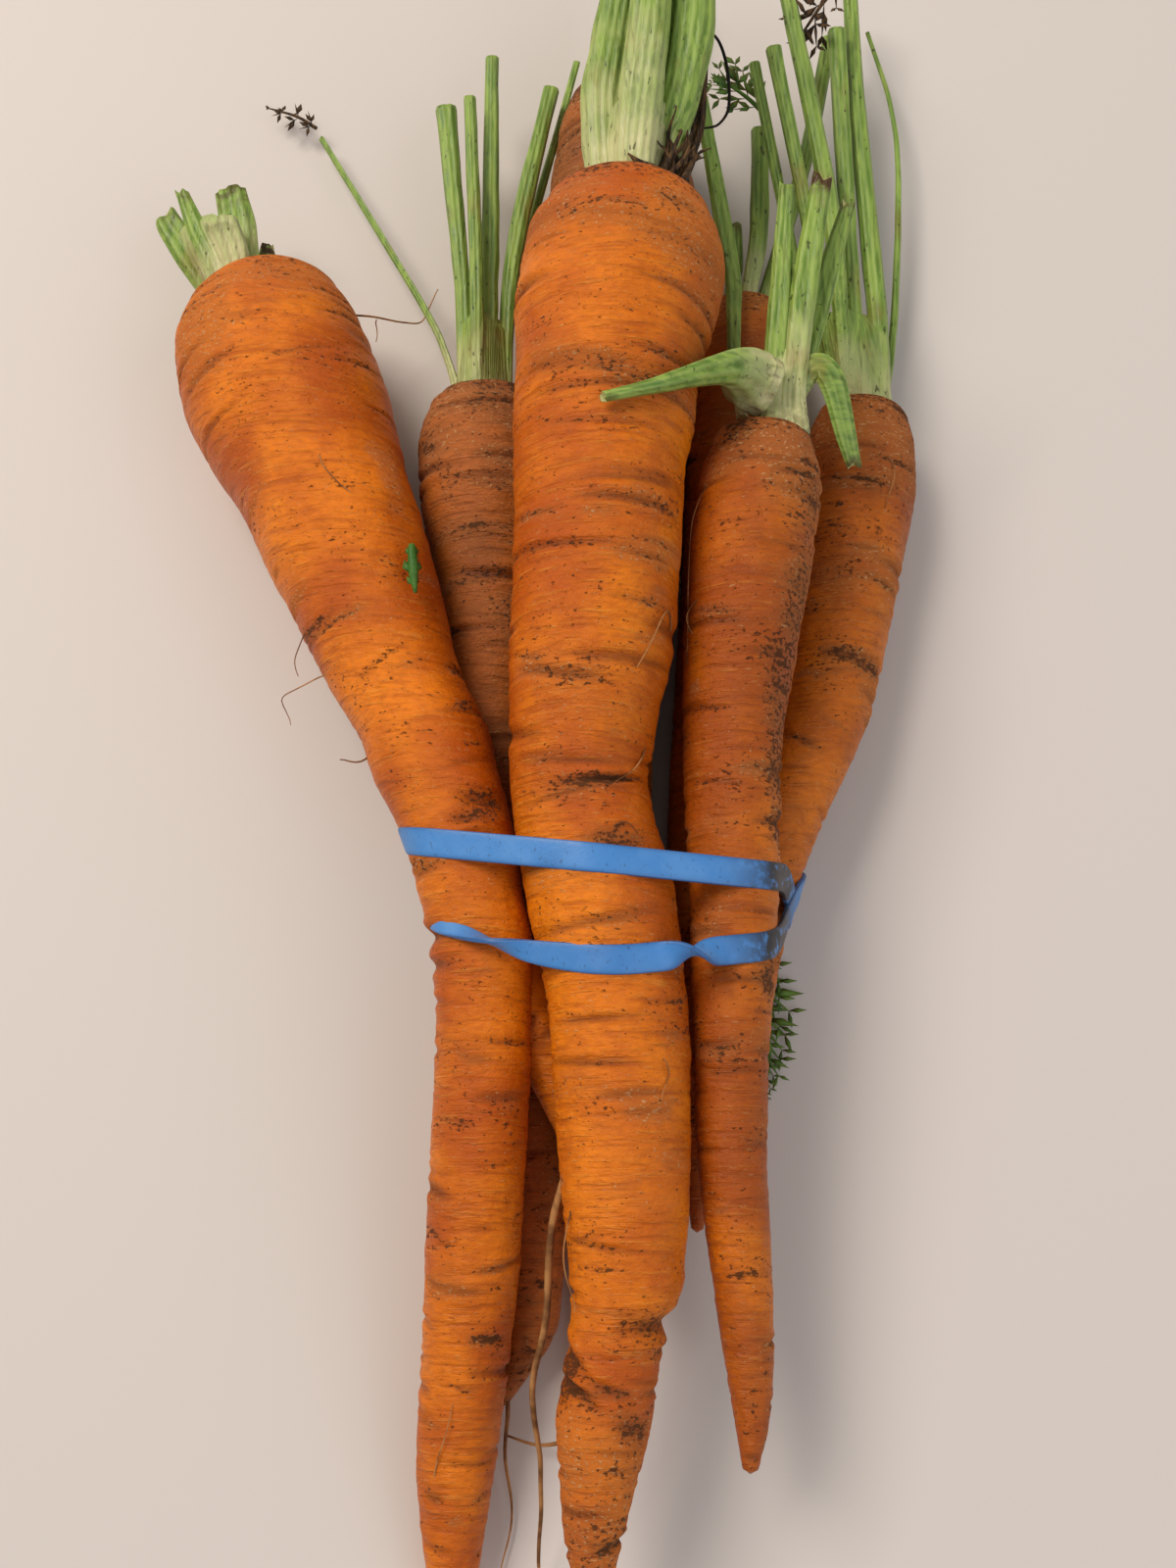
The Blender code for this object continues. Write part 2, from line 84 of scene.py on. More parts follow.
def smooth_curve(stations, count):
    """`count` points evenly spaced along a Catmull-Rom curve through the stations; the length is
    measured in the first three columns and any more columns are carried along."""
    points = np.array(stations, dtype=float)
    padded = np.vstack([2.0 * points[0] - points[1], points, 2.0 * points[-1] - points[-2]])
    t = (np.arange(24) / 24)[:, None, None]
    p0, p1, p2, p3 = padded[:-3], padded[1:-2], padded[2:-1], padded[3:]
    bent = 0.5 * (2.0 * p1 + (p2 - p0) * t + (2.0 * p0 - 5.0 * p1 + 4.0 * p2 - p3) * t**2
                  + (3.0 * p1 - p0 - 3.0 * p2 + p3) * t**3)
    fine = np.vstack([bent.transpose(1, 0, 2).reshape(-1, points.shape[1]), points[-1:]])
    return evenly(fine, count)


def evenly(points, count):
    """The same line read at `count` evenly spaced lengths from end to end."""
    run = lengths_along(points)
    wanted = np.linspace(0.0, run[-1], count)
    return np.stack([np.interp(wanted, run, column) for column in points.T], axis=1)


def lengths_along(points):
    """Distance travelled from the first point to each point, in the first three columns."""
    steps = np.linalg.norm(np.diff(points[:, :3], axis=0), axis=1)
    return np.concatenate([[0.0], np.cumsum(steps)])


def softened(points, spread):
    """Each column averaged with its neighbours by bell weights; the ends are carried on straight."""
    reach = int(3 * spread)
    steps = np.arange(1, reach + 1)[:, None]
    before = (points[0] - (points[1] - points[0]) * steps)[::-1]
    after = points[-1] + (points[-1] - points[-2]) * steps
    padded = np.vstack([before, points, after])
    weights = bell(np.arange(-reach, reach + 1) / (1.41 * spread))
    weights /= weights.sum()
    return np.stack([np.convolve(column, weights, "valid") for column in padded.T], axis=1)


def directions(path, reference=(0.0, 0.0, 1.0)):
    """Unit tangent, sideways (reference x tangent) and upward (tangent x sideways) at each point."""
    tangent = np.gradient(path[:, :3], axis=0)
    tangent /= np.linalg.norm(tangent, axis=1)[:, None]
    side = np.cross(reference, tangent)
    side /= np.linalg.norm(side, axis=1)[:, None]
    return tangent, side, np.cross(tangent, side)


def tight_outline(points, margin, angle):
    """Distance, in each direction `angle` from the flat origin, of the convex outline of points
    pushed out by `margin` (one for all or one for each): the support distance h(f) of the points
    in 720 directions f, and then the least h(f) / cos(f - angle)."""
    facing = TURN * np.arange(720) / 720
    normal = np.stack([np.cos(facing), np.sin(facing)], axis=1)
    support = (points @ normal.T + np.reshape(margin, (-1, 1))).max(axis=0)
    toward = np.cos(facing[None, :] - angle[:, None])
    reach = np.where(toward > 0.02, support[None, :] / np.maximum(toward, 0.02), np.inf)
    return reach.min(axis=1)


# ---------------------------------------------------------------- reading the fixed frame

def node_edges(name):
    """The two ends of every edge of a CAD node, in millimetres."""
    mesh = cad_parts[name].data
    points = np.empty(3 * len(mesh.vertices))
    mesh.vertices.foreach_get("co", points)
    pairs = np.empty(2 * len(mesh.edges), dtype=np.int32)
    mesh.edges.foreach_get("vertices", pairs)
    return points.reshape(-1, 3)[pairs.reshape(-1, 2)] / MM


def cut(edges, axis, level):
    """Where the edges cross the plane square to an axis at a level, as flat points."""
    start, end = edges[:, 0], edges[:, 1]
    depth = edges[:, :, axis] - level
    crossing = depth[:, 0] * depth[:, 1] < 0.0
    start, end, depth = start[crossing], end[crossing], depth[crossing]
    part = (depth[:, 0] / (depth[:, 0] - depth[:, 1]))[:, None]
    return np.delete(start + part * (end - start), axis, axis=1)


def round_fit(points):
    """Middle and radius of the circle nearest to flat points: a*a + b*b = 2*a*u + 2*b*v + c."""
    system = np.column_stack([2.0 * points, np.ones(len(points))])
    u, v, c = np.linalg.lstsq(system, np.square(points).sum(axis=1), rcond=None)[0]
    return u, v, math.sqrt(max(c + u * u + v * v, 0.01))


def traced(name, axis, levels, first=None, near=1.6):
    """Centre line and radius of a CAD solid: a circle is fitted to each cut, and when `first` is
    given, only to the points near the last circle, which follows one leg of a forked solid."""
    edges = node_edges(name)
    rows, last = [], first
    for level in levels:
        points = cut(edges, axis, level)
        if last is not None:
            away = np.abs(np.hypot(points[:, 0] - last[0], points[:, 1] - last[1]) - last[2])
            points = points[away < near]
        if len(points) < 5:
            continue
        fit = round_fit(points)
        if last is not None:
            last = fit
        rows.append(np.insert(fit[:2], axis, level).tolist() + [fit[2]])
    line = np.array(rows)
    slant = np.abs(directions(line)[0][:, axis]) if axis == 1 else 1.0
    line[:, 3] *= np.sqrt(slant)
    return line


def box_mm(name):
    """A CAD node's lowest and highest corners in millimetres."""
    low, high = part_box(name)
    return np.array(low) / MM, np.array(high) / MM


def inside_box(name, stations):
    """(u, v, w, radius) stations given as parts of a CAD node's box, as points in millimetres."""
    low, high = box_mm(name)
    return [(*(low + (high - low) * np.array(station[:3])), station[3]) for station in stations]


# ---------------------------------------------------------------- meshes

# A thread's rings are this far apart, and its ends stand out by this part of its radius.
THREAD_STEP = 0.7
THREAD_POINT = 0.6


def closed_surface(rings, start, end):
    """Points, quads and triangles of a tube over the rings, closed by a fan at each end."""
    rows, sides = rings.shape[:2]
    points = np.vstack([rings.reshape(-1, 3), start, end])
    row, column = np.meshgrid(np.arange(rows - 1), np.arange(sides), indexing="ij")
    following = (column + 1) % sides
    quads = np.stack([row * sides + column, row * sides + following,
                      (row + 1) * sides + following, (row + 1) * sides + column], axis=-1)
    turn = np.arange(sides)
    following = (turn + 1) % sides
    first = np.stack([np.full(sides, rows * sides), following, turn], axis=-1)
    base = (rows - 1) * sides
    last = np.stack([np.full(sides, rows * sides + 1), base + turn, base + following], axis=-1)
    return points, quads.reshape(-1, 4), np.vstack([first, last])


def with_ends(values):
    """Each value of the rings' points, carried on to the two points that close the surface."""
    flat = {key: value.ravel() for key, value in values.items()}
    return {key: np.concatenate([value, value[:1], value[-1:]]) for key, value in flat.items()}


def joined(parts):
    """Several sets of (points, quads, triangles, values) as one set."""
    points, quads, triangles, values, offset = [], [], [], {}, 0
    for part in parts:
        points.append(part[0])
        quads.append(part[1] + offset)
        triangles.append(part[2] + offset)
        offset += len(part[0])
        for key, value in part[3].items():
            values.setdefault(key, []).append(value)
    values = {key: np.concatenate(value) for key, value in values.items()}
    return np.vstack(points), np.vstack(quads), np.vstack(triangles), values


def make_piece(name, surface, material, replaced=()):
    """A smooth shaded object at the origin from points in millimetres, with its values as
    attributes, riding on the bunch."""
    points, quads, triangles, values = surface
    mesh = bpy.data.meshes.new(name)
    mesh.vertices.add(len(points))
    mesh.vertices.foreach_set("co", (points * MM).astype(np.float32).ravel())
    corners = np.concatenate([quads.ravel(), triangles.ravel()]).astype(np.int32)
    starts = np.concatenate([4 * np.arange(len(quads)), 4 * len(quads) + 3 * np.arange(len(triangles))])
    mesh.loops.add(len(corners))
    mesh.loops.foreach_set("vertex_index", corners)
    mesh.polygons.add(len(starts))
    mesh.polygons.foreach_set("loop_start", starts.astype(np.int32))
    mesh.update(calc_edges=True)
    mesh.validate()
    for key, value in values.items():
        layer = mesh.attributes.new(key, "FLOAT", "POINT")
        layer.data.foreach_set("value", value.astype(np.float32).ravel())
    mesh.shade_smooth()
    mesh.materials.append(material)
    piece = bpy.data.objects.new(name, mesh)
    bpy.context.collection.objects.link(piece)
    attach(piece, "root")
    if replaced:
        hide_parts(*replaced)


def rings_round(path, radius, side, up):
    """Rings round a path: its points + radius * (cos(a) * side + sin(a) * up), with one radius for
    each point of each ring and `a` once round."""
    turn = TURN * np.arange(radius.shape[1]) / radius.shape[1]
    return path[:, None, :3] + radius[..., None] * (np.cos(turn)[:, None] * side[:, None]
                                                    + np.sin(turn)[:, None] * up[:, None])


def thread(stations, sides=7, reference=(0.0, 0.0, 1.0), ripple=0.0, seed=0):
    """A thin round thread through (x, y, z, radius) stations: rings of radius r round a smooth
    curve, closed at both ends. Ripple bends the curve sideways by soft noise of that size."""
    rough = np.array(stations, dtype=float)
    count = max(6, int(lengths_along(rough)[-1] / THREAD_STEP))
    path = smooth_curve(rough, count)
    if ripple:
        rng = np.random.default_rng(seed)
        knots = np.linspace(0.0, 1.0, max(4, count // 6))
        where = np.linspace(0.0, 1.0, count)
        sway = [np.interp(where, knots, rng.uniform(-ripple, ripple, len(knots))) for _ in range(3)]
        path[:, :3] += softened(np.stack(sway, axis=1), 2.0) * np.sin(math.pi * where)[:, None] ** 0.3
    tangent, side, up = directions(path, reference)
    rings = rings_round(path, np.repeat(path[:, 3:4], sides, axis=1), side, up)
    start = path[0, :3] - tangent[0] * path[0, 3] * THREAD_POINT
    end = path[-1, :3] + tangent[-1] * path[-1, 3] * THREAD_POINT
    points, quads, triangles = closed_surface(rings, start, end)
    return points, quads, triangles, {}


# ---------------------------------------------------------------- materials

def linear(code):
    """A hex colour as screens show it, turned to the linear values that shading works in."""
    shown = np.array([int(code[i:i + 2], 16) for i in (1, 3, 5)]) / 255.0
    value = np.where(shown <= 0.04045, shown / 12.92, ((shown + 0.055) / 1.055) ** 2.4)
    return (*value.tolist(), 1.0)


def add(tree, kind, inputs=None, out=0, **settings):
    """Adds a shader node with its settings and gives one output; an input is given a value or
    another node's output."""
    node = tree.nodes.new("ShaderNode" + kind)
    for key, value in settings.items():
        setattr(node, key, value)
    for key, value in (inputs or {}).items():
        if isinstance(value, bpy.types.NodeSocket):
            tree.links.new(value, node.inputs[key])
        else:
            node.inputs[key].default_value = value
    return node.outputs[out]


def new_material(name, **constants):
    """An empty Principled material with its constant sockets set, its tree and its shader."""
    material = bpy.data.materials.new(name)
    material.use_nodes = True
    tree = material.node_tree
    shader = tree.nodes["Principled BSDF"]
    for key, value in constants.items():
        shader.inputs[key.replace("_", " ")].default_value = value
    return material, tree, shader


def patches(tree, place, size, low, high, stretch=(1.0, 1.0, 1.0), detail=3.0, roughness=0.55):
    """A 0 to 1 pattern of soft patches `size` millimetres across, from noise between two levels."""
    moved = add(tree, "Mapping", {"Vector": place, "Scale": tuple(part / (size * MM) for part in stretch)})
    noise = add(tree, "TexNoise", {"Vector": moved, "Scale": 1.0, "Detail": detail, "Roughness": roughness})
    return add(tree, "MapRange", {0: noise, 1: low, 2: high}, interpolation_type="SMOOTHSTEP")


def weighted(tree, *parts):
    """The sum of several patterns, each times its weight."""
    total = 0.0
    for pattern, weight in parts:
        total = add(tree, "Math", {0: pattern, 1: weight, 2: total}, operation="MULTIPLY_ADD")
    return total


def laid_over(tree, colour, pattern, strength, above):
    """A hex colour laid over another colour where a 0 to 1 pattern is, at most `strength` thick."""
    amount = add(tree, "Math", {0: pattern, 1: strength}, operation="MULTIPLY", use_clamp=True)
    return add(tree, "Mix", {0: amount, 6: colour, 7: linear(above)}, 2, data_type="RGBA")


def finished(tree, shader, colour, rough, height, strength, depth):
    """Links a colour, a roughness unless it is constant, and a bump `depth` millimetres deep."""
    tree.links.new(colour, shader.inputs["Base Color"])
    if rough is not None:
        tree.links.new(rough, shader.inputs["Roughness"])
    bump = add(tree, "Bump", {"Strength": strength, "Distance": depth * MM, "Height": height})
    tree.links.new(bump, shader.inputs["Normal"])


def carrot_skin(name, bright, deep, pale, rust, film, soil, dust):
    """Raw carrot skin, pulled from the ground and wiped, not scrubbed: waxy golden orange that
    varies in soft clouds, fine rings across the root, short pale corky dashes, a dry brown-pink
    film where it's scaly, specks of earth that crowd into the creases, and painted shade that
    darkens the creases by their depth. It's waxy where it's clean and matt where it's dusty."""
    material, tree, shader = new_material(
        name, IOR=1.42, Specular_IOR_Level=0.36, Subsurface_Weight=0.08, Subsurface_Scale=0.003,
        Subsurface_Radius=(1.0, 0.35, 0.08))
    place = add(tree, "TexCoord", out="Object")
    scurf = add(tree, "Attribute", out="Fac", attribute_name="scurf")
    crease = add(tree, "Attribute", out="Fac", attribute_name="crease")
    earthed = add(tree, "Attribute", out="Fac", attribute_name="soil")
    clouds = patches(tree, place, 24.0, 0.36, 0.64)
    colour = laid_over(tree, linear(deep), clouds, 1.0, bright)
    streaks = patches(tree, place, 9.0, 0.48, 0.72, (1.0, 9.0, 1.0))
    colour = laid_over(tree, colour, streaks, 0.50, rust)
    rings = patches(tree, place, 7.0, 0.54, 0.74, (1.0, 12.0, 1.0))
    colour = laid_over(tree, colour, rings, 0.34, pale)
    blush = patches(tree, place, 15.0, 0.50, 0.72, (1.0, 0.8, 1.0))
    colour = laid_over(tree, colour, blush, 0.45, deep)
    mottle = patches(tree, place, 1.6, 0.35, 0.75, (1.0, 2.2, 1.0))
    colour = laid_over(tree, colour, mottle, 0.35, rust)
    # Dry film: where the mesh says so, with its own cloudy edge.
    cloudy = patches(tree, place, 12.0, 0.30, 0.70, (1.0, 2.5, 1.0), 5.0, 0.65)
    filmed = add(tree, "MapRange", {0: weighted(tree, (scurf, 1.0), (cloudy, 0.55)),
                                    1: 0.50 - dust, 2: 1.15 - dust}, interpolation_type="SMOOTHSTEP")
    colour = laid_over(tree, colour, filmed, 0.62, film)
    # Pale corky dashes, 1 mm by 0.3 mm, lie across the root about every 4 mm.
    spots = add(tree, "Mapping", {"Vector": place, "Scale": (330.0, 1200.0, 330.0)})
    distance = add(tree, "TexVoronoi", {"Vector": spots, "Scale": 1.0}, "Distance")
    picked = add(tree, "TexVoronoi", {"Vector": spots, "Scale": 1.0}, "Color")
    round_spot = add(tree, "MapRange", {0: distance, 1: 0.24, 2: 0.10}, interpolation_type="SMOOTHSTEP")
    chosen = add(tree, "MapRange", {0: picked, 1: 0.60, 2: 0.80})
    dash = add(tree, "Math", {0: round_spot, 1: chosen}, operation="MULTIPLY")
    colour = laid_over(tree, colour, dash, 0.30, "#D09A62")
    # Pale dry flecks, half a millimetre, thicker on the film.
    tiny = add(tree, "Mapping", {"Vector": place, "Scale": (1500.0, 2300.0, 1500.0)})
    flecked = add(tree, "TexNoise", {"Vector": tiny, "Scale": 1.0, "Detail": 2.0})
    flake = add(tree, "MapRange", {0: weighted(tree, (flecked, 1.0), (filmed, 0.10)), 1: 0.66, 2: 0.78},
                interpolation_type="SMOOTHSTEP")
    colour = laid_over(tree, colour, flake, 0.50, "#D8AC78")
    # Painted shade: the creases are darkened in proportion to their depth.
    colour = laid_over(tree, colour, crease, 0.60, "#5A260A")
    # Earth: specks under a millimetre whose number grows with what the mesh holds and in drifts.
    grit = add(tree, "Mapping", {"Vector": place, "Scale": (1050.0, 1700.0, 1050.0)})
    grain = add(tree, "TexNoise", {"Vector": grit, "Scale": 1.0, "Detail": 3.0, "Roughness": 0.6})
    drift = patches(tree, place, 14.0, 0.46, 0.70, (1.0, 2.0, 1.0), 4.0)
    held = weighted(tree, (grain, 1.0), (earthed, 0.20), (drift, 0.085 + 0.2 * dust))
    earth = add(tree, "MapRange", {0: held, 1: 0.645, 2: 0.745}, interpolation_type="SMOOTHSTEP")
    colour = laid_over(tree, colour, earth, 0.82, soil)
    # A thin brown stain spreads round the specks.
    spread = weighted(tree, (earthed, 0.6), (drift, 0.25 + dust), (cloudy, 0.35))
    stained = add(tree, "MapRange", {0: spread, 1: 0.35, 2: 1.1}, interpolation_type="SMOOTHSTEP")
    colour = laid_over(tree, colour, stained, 0.42, "#6A3A18")
    dull = add(tree, "Math", {0: earth, 1: filmed}, operation="MAXIMUM")
    rough = add(tree, "MapRange", {0: dull, 3: 0.40, 4: 0.85})
    fine = patches(tree, place, 0.8, 0.2, 0.8, (1.0, 1.8, 1.0), 4.0, 0.7)
    height = weighted(tree, (rings, 0.6), (fine, 0.55), (streaks, -0.7), (earth, 0.7), (flake, 0.5),
                      (dash, 0.35))
    finished(tree, shader, colour, rough, height, 0.6, 0.4)
    return material


def stalk_skin(name, base, green, deep, rind, grain=(3.0, 0.35, 3.0)):
    """Cut leaf stalks: smooth ribbed skin, cream at the crown turning leaf green, with fine long
    streaks, small black rot specks and a pale, browning cut. It has a soft wet-looking gloss.
    Grain says how often the streaks change along each axis."""
    material, tree, shader = new_material(
        name, IOR=1.42, Subsurface_Weight=0.12, Subsurface_Scale=0.002, Subsurface_Radius=(0.6, 1.0, 0.25))
    place = add(tree, "TexCoord", out="Object")
    climb = add(tree, "Attribute", out="Fac", attribute_name="rise")
    rib = add(tree, "Attribute", out="Fac", attribute_name="rib")
    opened = add(tree, "Attribute", out="Fac", attribute_name="cut")
    bruised = add(tree, "Attribute", out="Fac", attribute_name="bruise")
    along = patches(tree, place, 3.0, 0.35, 0.65, grain)
    colour = laid_over(tree, linear(deep), along, 1.0, green)
    rise = weighted(tree, (climb, 1.0), (patches(tree, place, 7.0, 0.3, 0.7), 0.3))
    colour = laid_over(tree, colour, add(tree, "MapRange", {0: rise, 1: 0.95, 2: 0.25}), 1.0, base)
    colour = laid_over(tree, colour, rib, 0.40, rind)
    lines = patches(tree, place, 2.7, 0.56, 0.70, grain, 2.0)
    colour = laid_over(tree, colour, lines, 0.45, "#56642A")
    brown = patches(tree, place, 6.0, 0.58, 0.74, (1.0, 0.5, 1.0))
    colour = laid_over(tree, colour, brown, 0.40, "#86682F")
    specks = patches(tree, place, 0.9, 0.65, 0.72, (1.0, 0.45, 1.0), 2.0)
    colour = laid_over(tree, colour, specks, 0.75, "#2E2412")
    colour = laid_over(tree, colour, opened, 1.0, "#C4BF84")
    blot = add(tree, "Math", {0: bruised, 1: patches(tree, place, 1.6, 0.35, 0.6)}, operation="MULTIPLY")
    colour = laid_over(tree, colour, blot, 1.0, "#4A3216")
    rough = add(tree, "MapRange", {0: along, 3: 0.38, 4: 0.55})
    finished(tree, shader, colour, rough, patches(tree, place, 2.0, 0.2, 0.8, grain), 0.35, 0.3)
    return material


def dead_leaf(name, dark, light):
    """Dried, papery leaf bases and threads: matt, dark brown to tan, with long fibres."""
    material, tree, shader = new_material(name, Roughness=0.85, IOR=1.4)
    place = add(tree, "TexCoord", out="Object")
    fibres = patches(tree, place, 1.6, 0.35, 0.7, (2.5, 0.5, 2.5))
    finished(tree, shader, laid_over(tree, linear(dark), fibres, 1.0, light), None, fibres, 0.5, 0.3)
    return material


def fresh_leaf(name, deep, light):
    """Feathery carrot leaf: thin, matt dark green, a little light showing through, paler tips."""
    material, tree, shader = new_material(
        name, Roughness=0.55, IOR=1.4, Subsurface_Weight=0.15, Subsurface_Scale=0.001)
    place = add(tree, "TexCoord", out="Object")
    tip = add(tree, "Attribute", out="Fac", attribute_name="tip")
    colour = laid_over(tree, linear(deep), patches(tree, place, 3.5, 0.3, 0.7), 1.0, light)
    colour = laid_over(tree, colour, tip, 0.4, light)
    finished(tree, shader, colour, None, patches(tree, place, 0.8, 0.3, 0.7), 0.3, 0.2)
    return material


def root_hair(name, dark, light):
    """Fine rootlets: dry tan threads, browner where earth clings to them."""
    material, tree, shader = new_material(
        name, Roughness=0.75, IOR=1.4, Subsurface_Weight=0.1, Subsurface_Scale=0.001)
    place = add(tree, "TexCoord", out="Object")
    dusty = patches(tree, place, 4.0, 0.40, 0.65)
    finished(tree, shader, laid_over(tree, linear(light), dusty, 1.0, dark), None, dusty, 0.3, 0.1)
    return material


def dyed_rubber(name, face, worn, edge, dirt_and_shadow):
    """Blue latex band cut from an extruded tube: even dyed rubber with a faint satin sheen, paler
    where it's stretched and dusty, painted darker towards its side edges as shade, with rubbed-in
    specks of earth and a painted shadow beside the crossing."""
    material, tree, shader = new_material(
        name, IOR=1.52, Sheen_Weight=0.05, Subsurface_Weight=0.04, Subsurface_Scale=0.001)
    place = add(tree, "TexCoord", out="Object")
    rim = add(tree, "Attribute", out="Fac", attribute_name="edge")
    shadowed = add(tree, "Attribute", out="Fac", attribute_name="dirt_and_shadow")
    dusty = patches(tree, place, 5.0, 0.40, 0.75)
    colour = laid_over(tree, linear(face), dusty, 0.45, worn)
    # Painted shade: darker towards the side edges of the band's section.
    colour = laid_over(tree, colour, rim, 0.75, edge)
    colour = laid_over(tree, colour, patches(tree, place, 14.0, 0.50, 0.75), 0.35, edge)
    specks = patches(tree, place, 0.8, 0.62, 0.70, (1.4, 0.9, 1.0), 3.0)
    # Painted shadow beside the crossing, where one strand lies over the other, broken into soft blotches.
    shadow_blotches = patches(tree, place, 1.6, 0.28, 0.52, detail=5.0)
    painted_shadow = add(tree, "Math", {0: shadowed, 1: shadow_blotches}, operation="MULTIPLY")
    colour = laid_over(tree, colour, specks, 0.45, dirt_and_shadow)
    colour = laid_over(tree, colour, painted_shadow, 1.0, dirt_and_shadow)
    rough = add(tree, "MapRange", {0: dusty, 3: 0.42, 4: 0.62})
    finished(tree, shader, colour, rough, patches(tree, place, 0.5, 0.3, 0.7, detail=4.0), 0.12, 0.1)
    return material


clean_skin = carrot_skin("carrot skin, wiped", "#EE820A", "#BE5604", "#F0A03C", "#A04604", "#B8682E",
                         "#30200F", 0.0)
dull_skin = carrot_skin("carrot skin, unwiped", "#D8740C", "#A84E08", "#DC8C3C", "#8A3E08", "#A86634",
                        "#2E1E0E", 0.08)
earthy_skin = carrot_skin("carrot skin, dusty", "#C46C28", "#98521A", "#CC8A4C", "#743E18", "#9C6238",
                          "#382718", 0.20)
stalk_green = stalk_skin("carrot stalk, fresh cut", "#CFCB98", "#8CA848", "#5C7E2C", "#A9BC6C")
stalk_bent = stalk_skin("carrot stalk, snapped over", "#CFCB98", "#8CA848", "#547A2A", "#A9BC6C",
                        (0.5, 2.4, 1.6))
dry_matter = dead_leaf("carrot leaf base, dried", "#20160E", "#6A4C2C")
black_thread = dead_leaf("carrot leaf rib, blackened", "#0C0908", "#2C2018")
frond_green = fresh_leaf("carrot leaf, fresh", "#2C4A16", "#5E8430")
young_green = fresh_leaf("carrot leaf, young", "#30601C", "#4F7D30")
hair_tan = root_hair("carrot rootlet, dry", "#6A4320", "#B07E4A")
band_blue = dyed_rubber("latex rubber, dyed blue", "#4286CC", "#5F98D6", "#24508C", "#24242A")


# ---------------------------------------------------------------- roots

# The crown's profile from the rim inwards: height over the rim and radius, as parts of its radius.
SHOULDER = [(0.0, 1.0), (0.12, 0.965), (0.22, 0.88), (0.29, 0.75), (0.32, 0.58), (0.30, 0.42),
            (0.24, 0.28), (0.17, 0.12)]
SHOULDER_HEIGHT = 0.29
# Below the rim the shoulder is round for this length, and the full radius is read a little lower.
SHOULDER_LENGTH = 7.0
FULL_RADIUS_AT = 9.0
ROOT_CUT_STEP = 1.8
THINNEST_TIP = 0.35

# Each root: random seed, mesh, creases per 100 mm and their depth, crown dirt, scurf, how far its
# shoulder lies below the CAD solid's highest end, and how much thicker it is where it is hidden.
ROOTS = {
    "root_forked": dict(seed=11, rows=428, sides=182, creases=95, deep=0.26, crown=0.35, scurf=0.20,
                        drop=5.2),
    "root_center": dict(seed=23, rows=470, sides=196, creases=105, deep=0.30, crown=0.30, scurf=0.30,
                        drop=0.9),
    "root_muddy": dict(seed=31, rows=320, sides=128, creases=120, deep=0.30, crown=0.9, scurf=0.25,
                       drop=0.8),
    "root_small": dict(seed=47, rows=380, sides=150, creases=120, deep=0.24, crown=0.7, scurf=0.25,
                       drop=3.5),
    "root_right": dict(seed=53, rows=320, sides=140, creases=110, deep=0.24, crown=0.6, scurf=0.25,
                       drop=1.6),
    "root_long": dict(seed=61, rows=360, sides=128, creases=100, deep=0.24, crown=0.8, scurf=0.2,
                      drop=0.6),
    "root_hidden": dict(seed=71, rows=280, sides=110, creases=100, deep=0.22, crown=0.5, scurf=0.2,
                        drop=0.6, swell=1.16),
}
SECOND_LEG = dict(rows=150, sides=96, seed=83)
SKINS = {"root_muddy": earthy_skin, "root_long": earthy_skin, "root_small": dull_skin,
         "root_right": dull_skin, "root_hidden": dull_skin}

# Noise over a skin, in layers of height, length along the root and cells round it.
LUMPS = ((0.030, 19.0, 3), (0.020, 8.0, 6), (0.010, 3.0, 9))
RIPPLES = ((0.07, 0.9, 7), (0.05, 1.1, 40))
CLOUDS = ((1.0, 6.0, 9), (0.6, 2.0, 22))

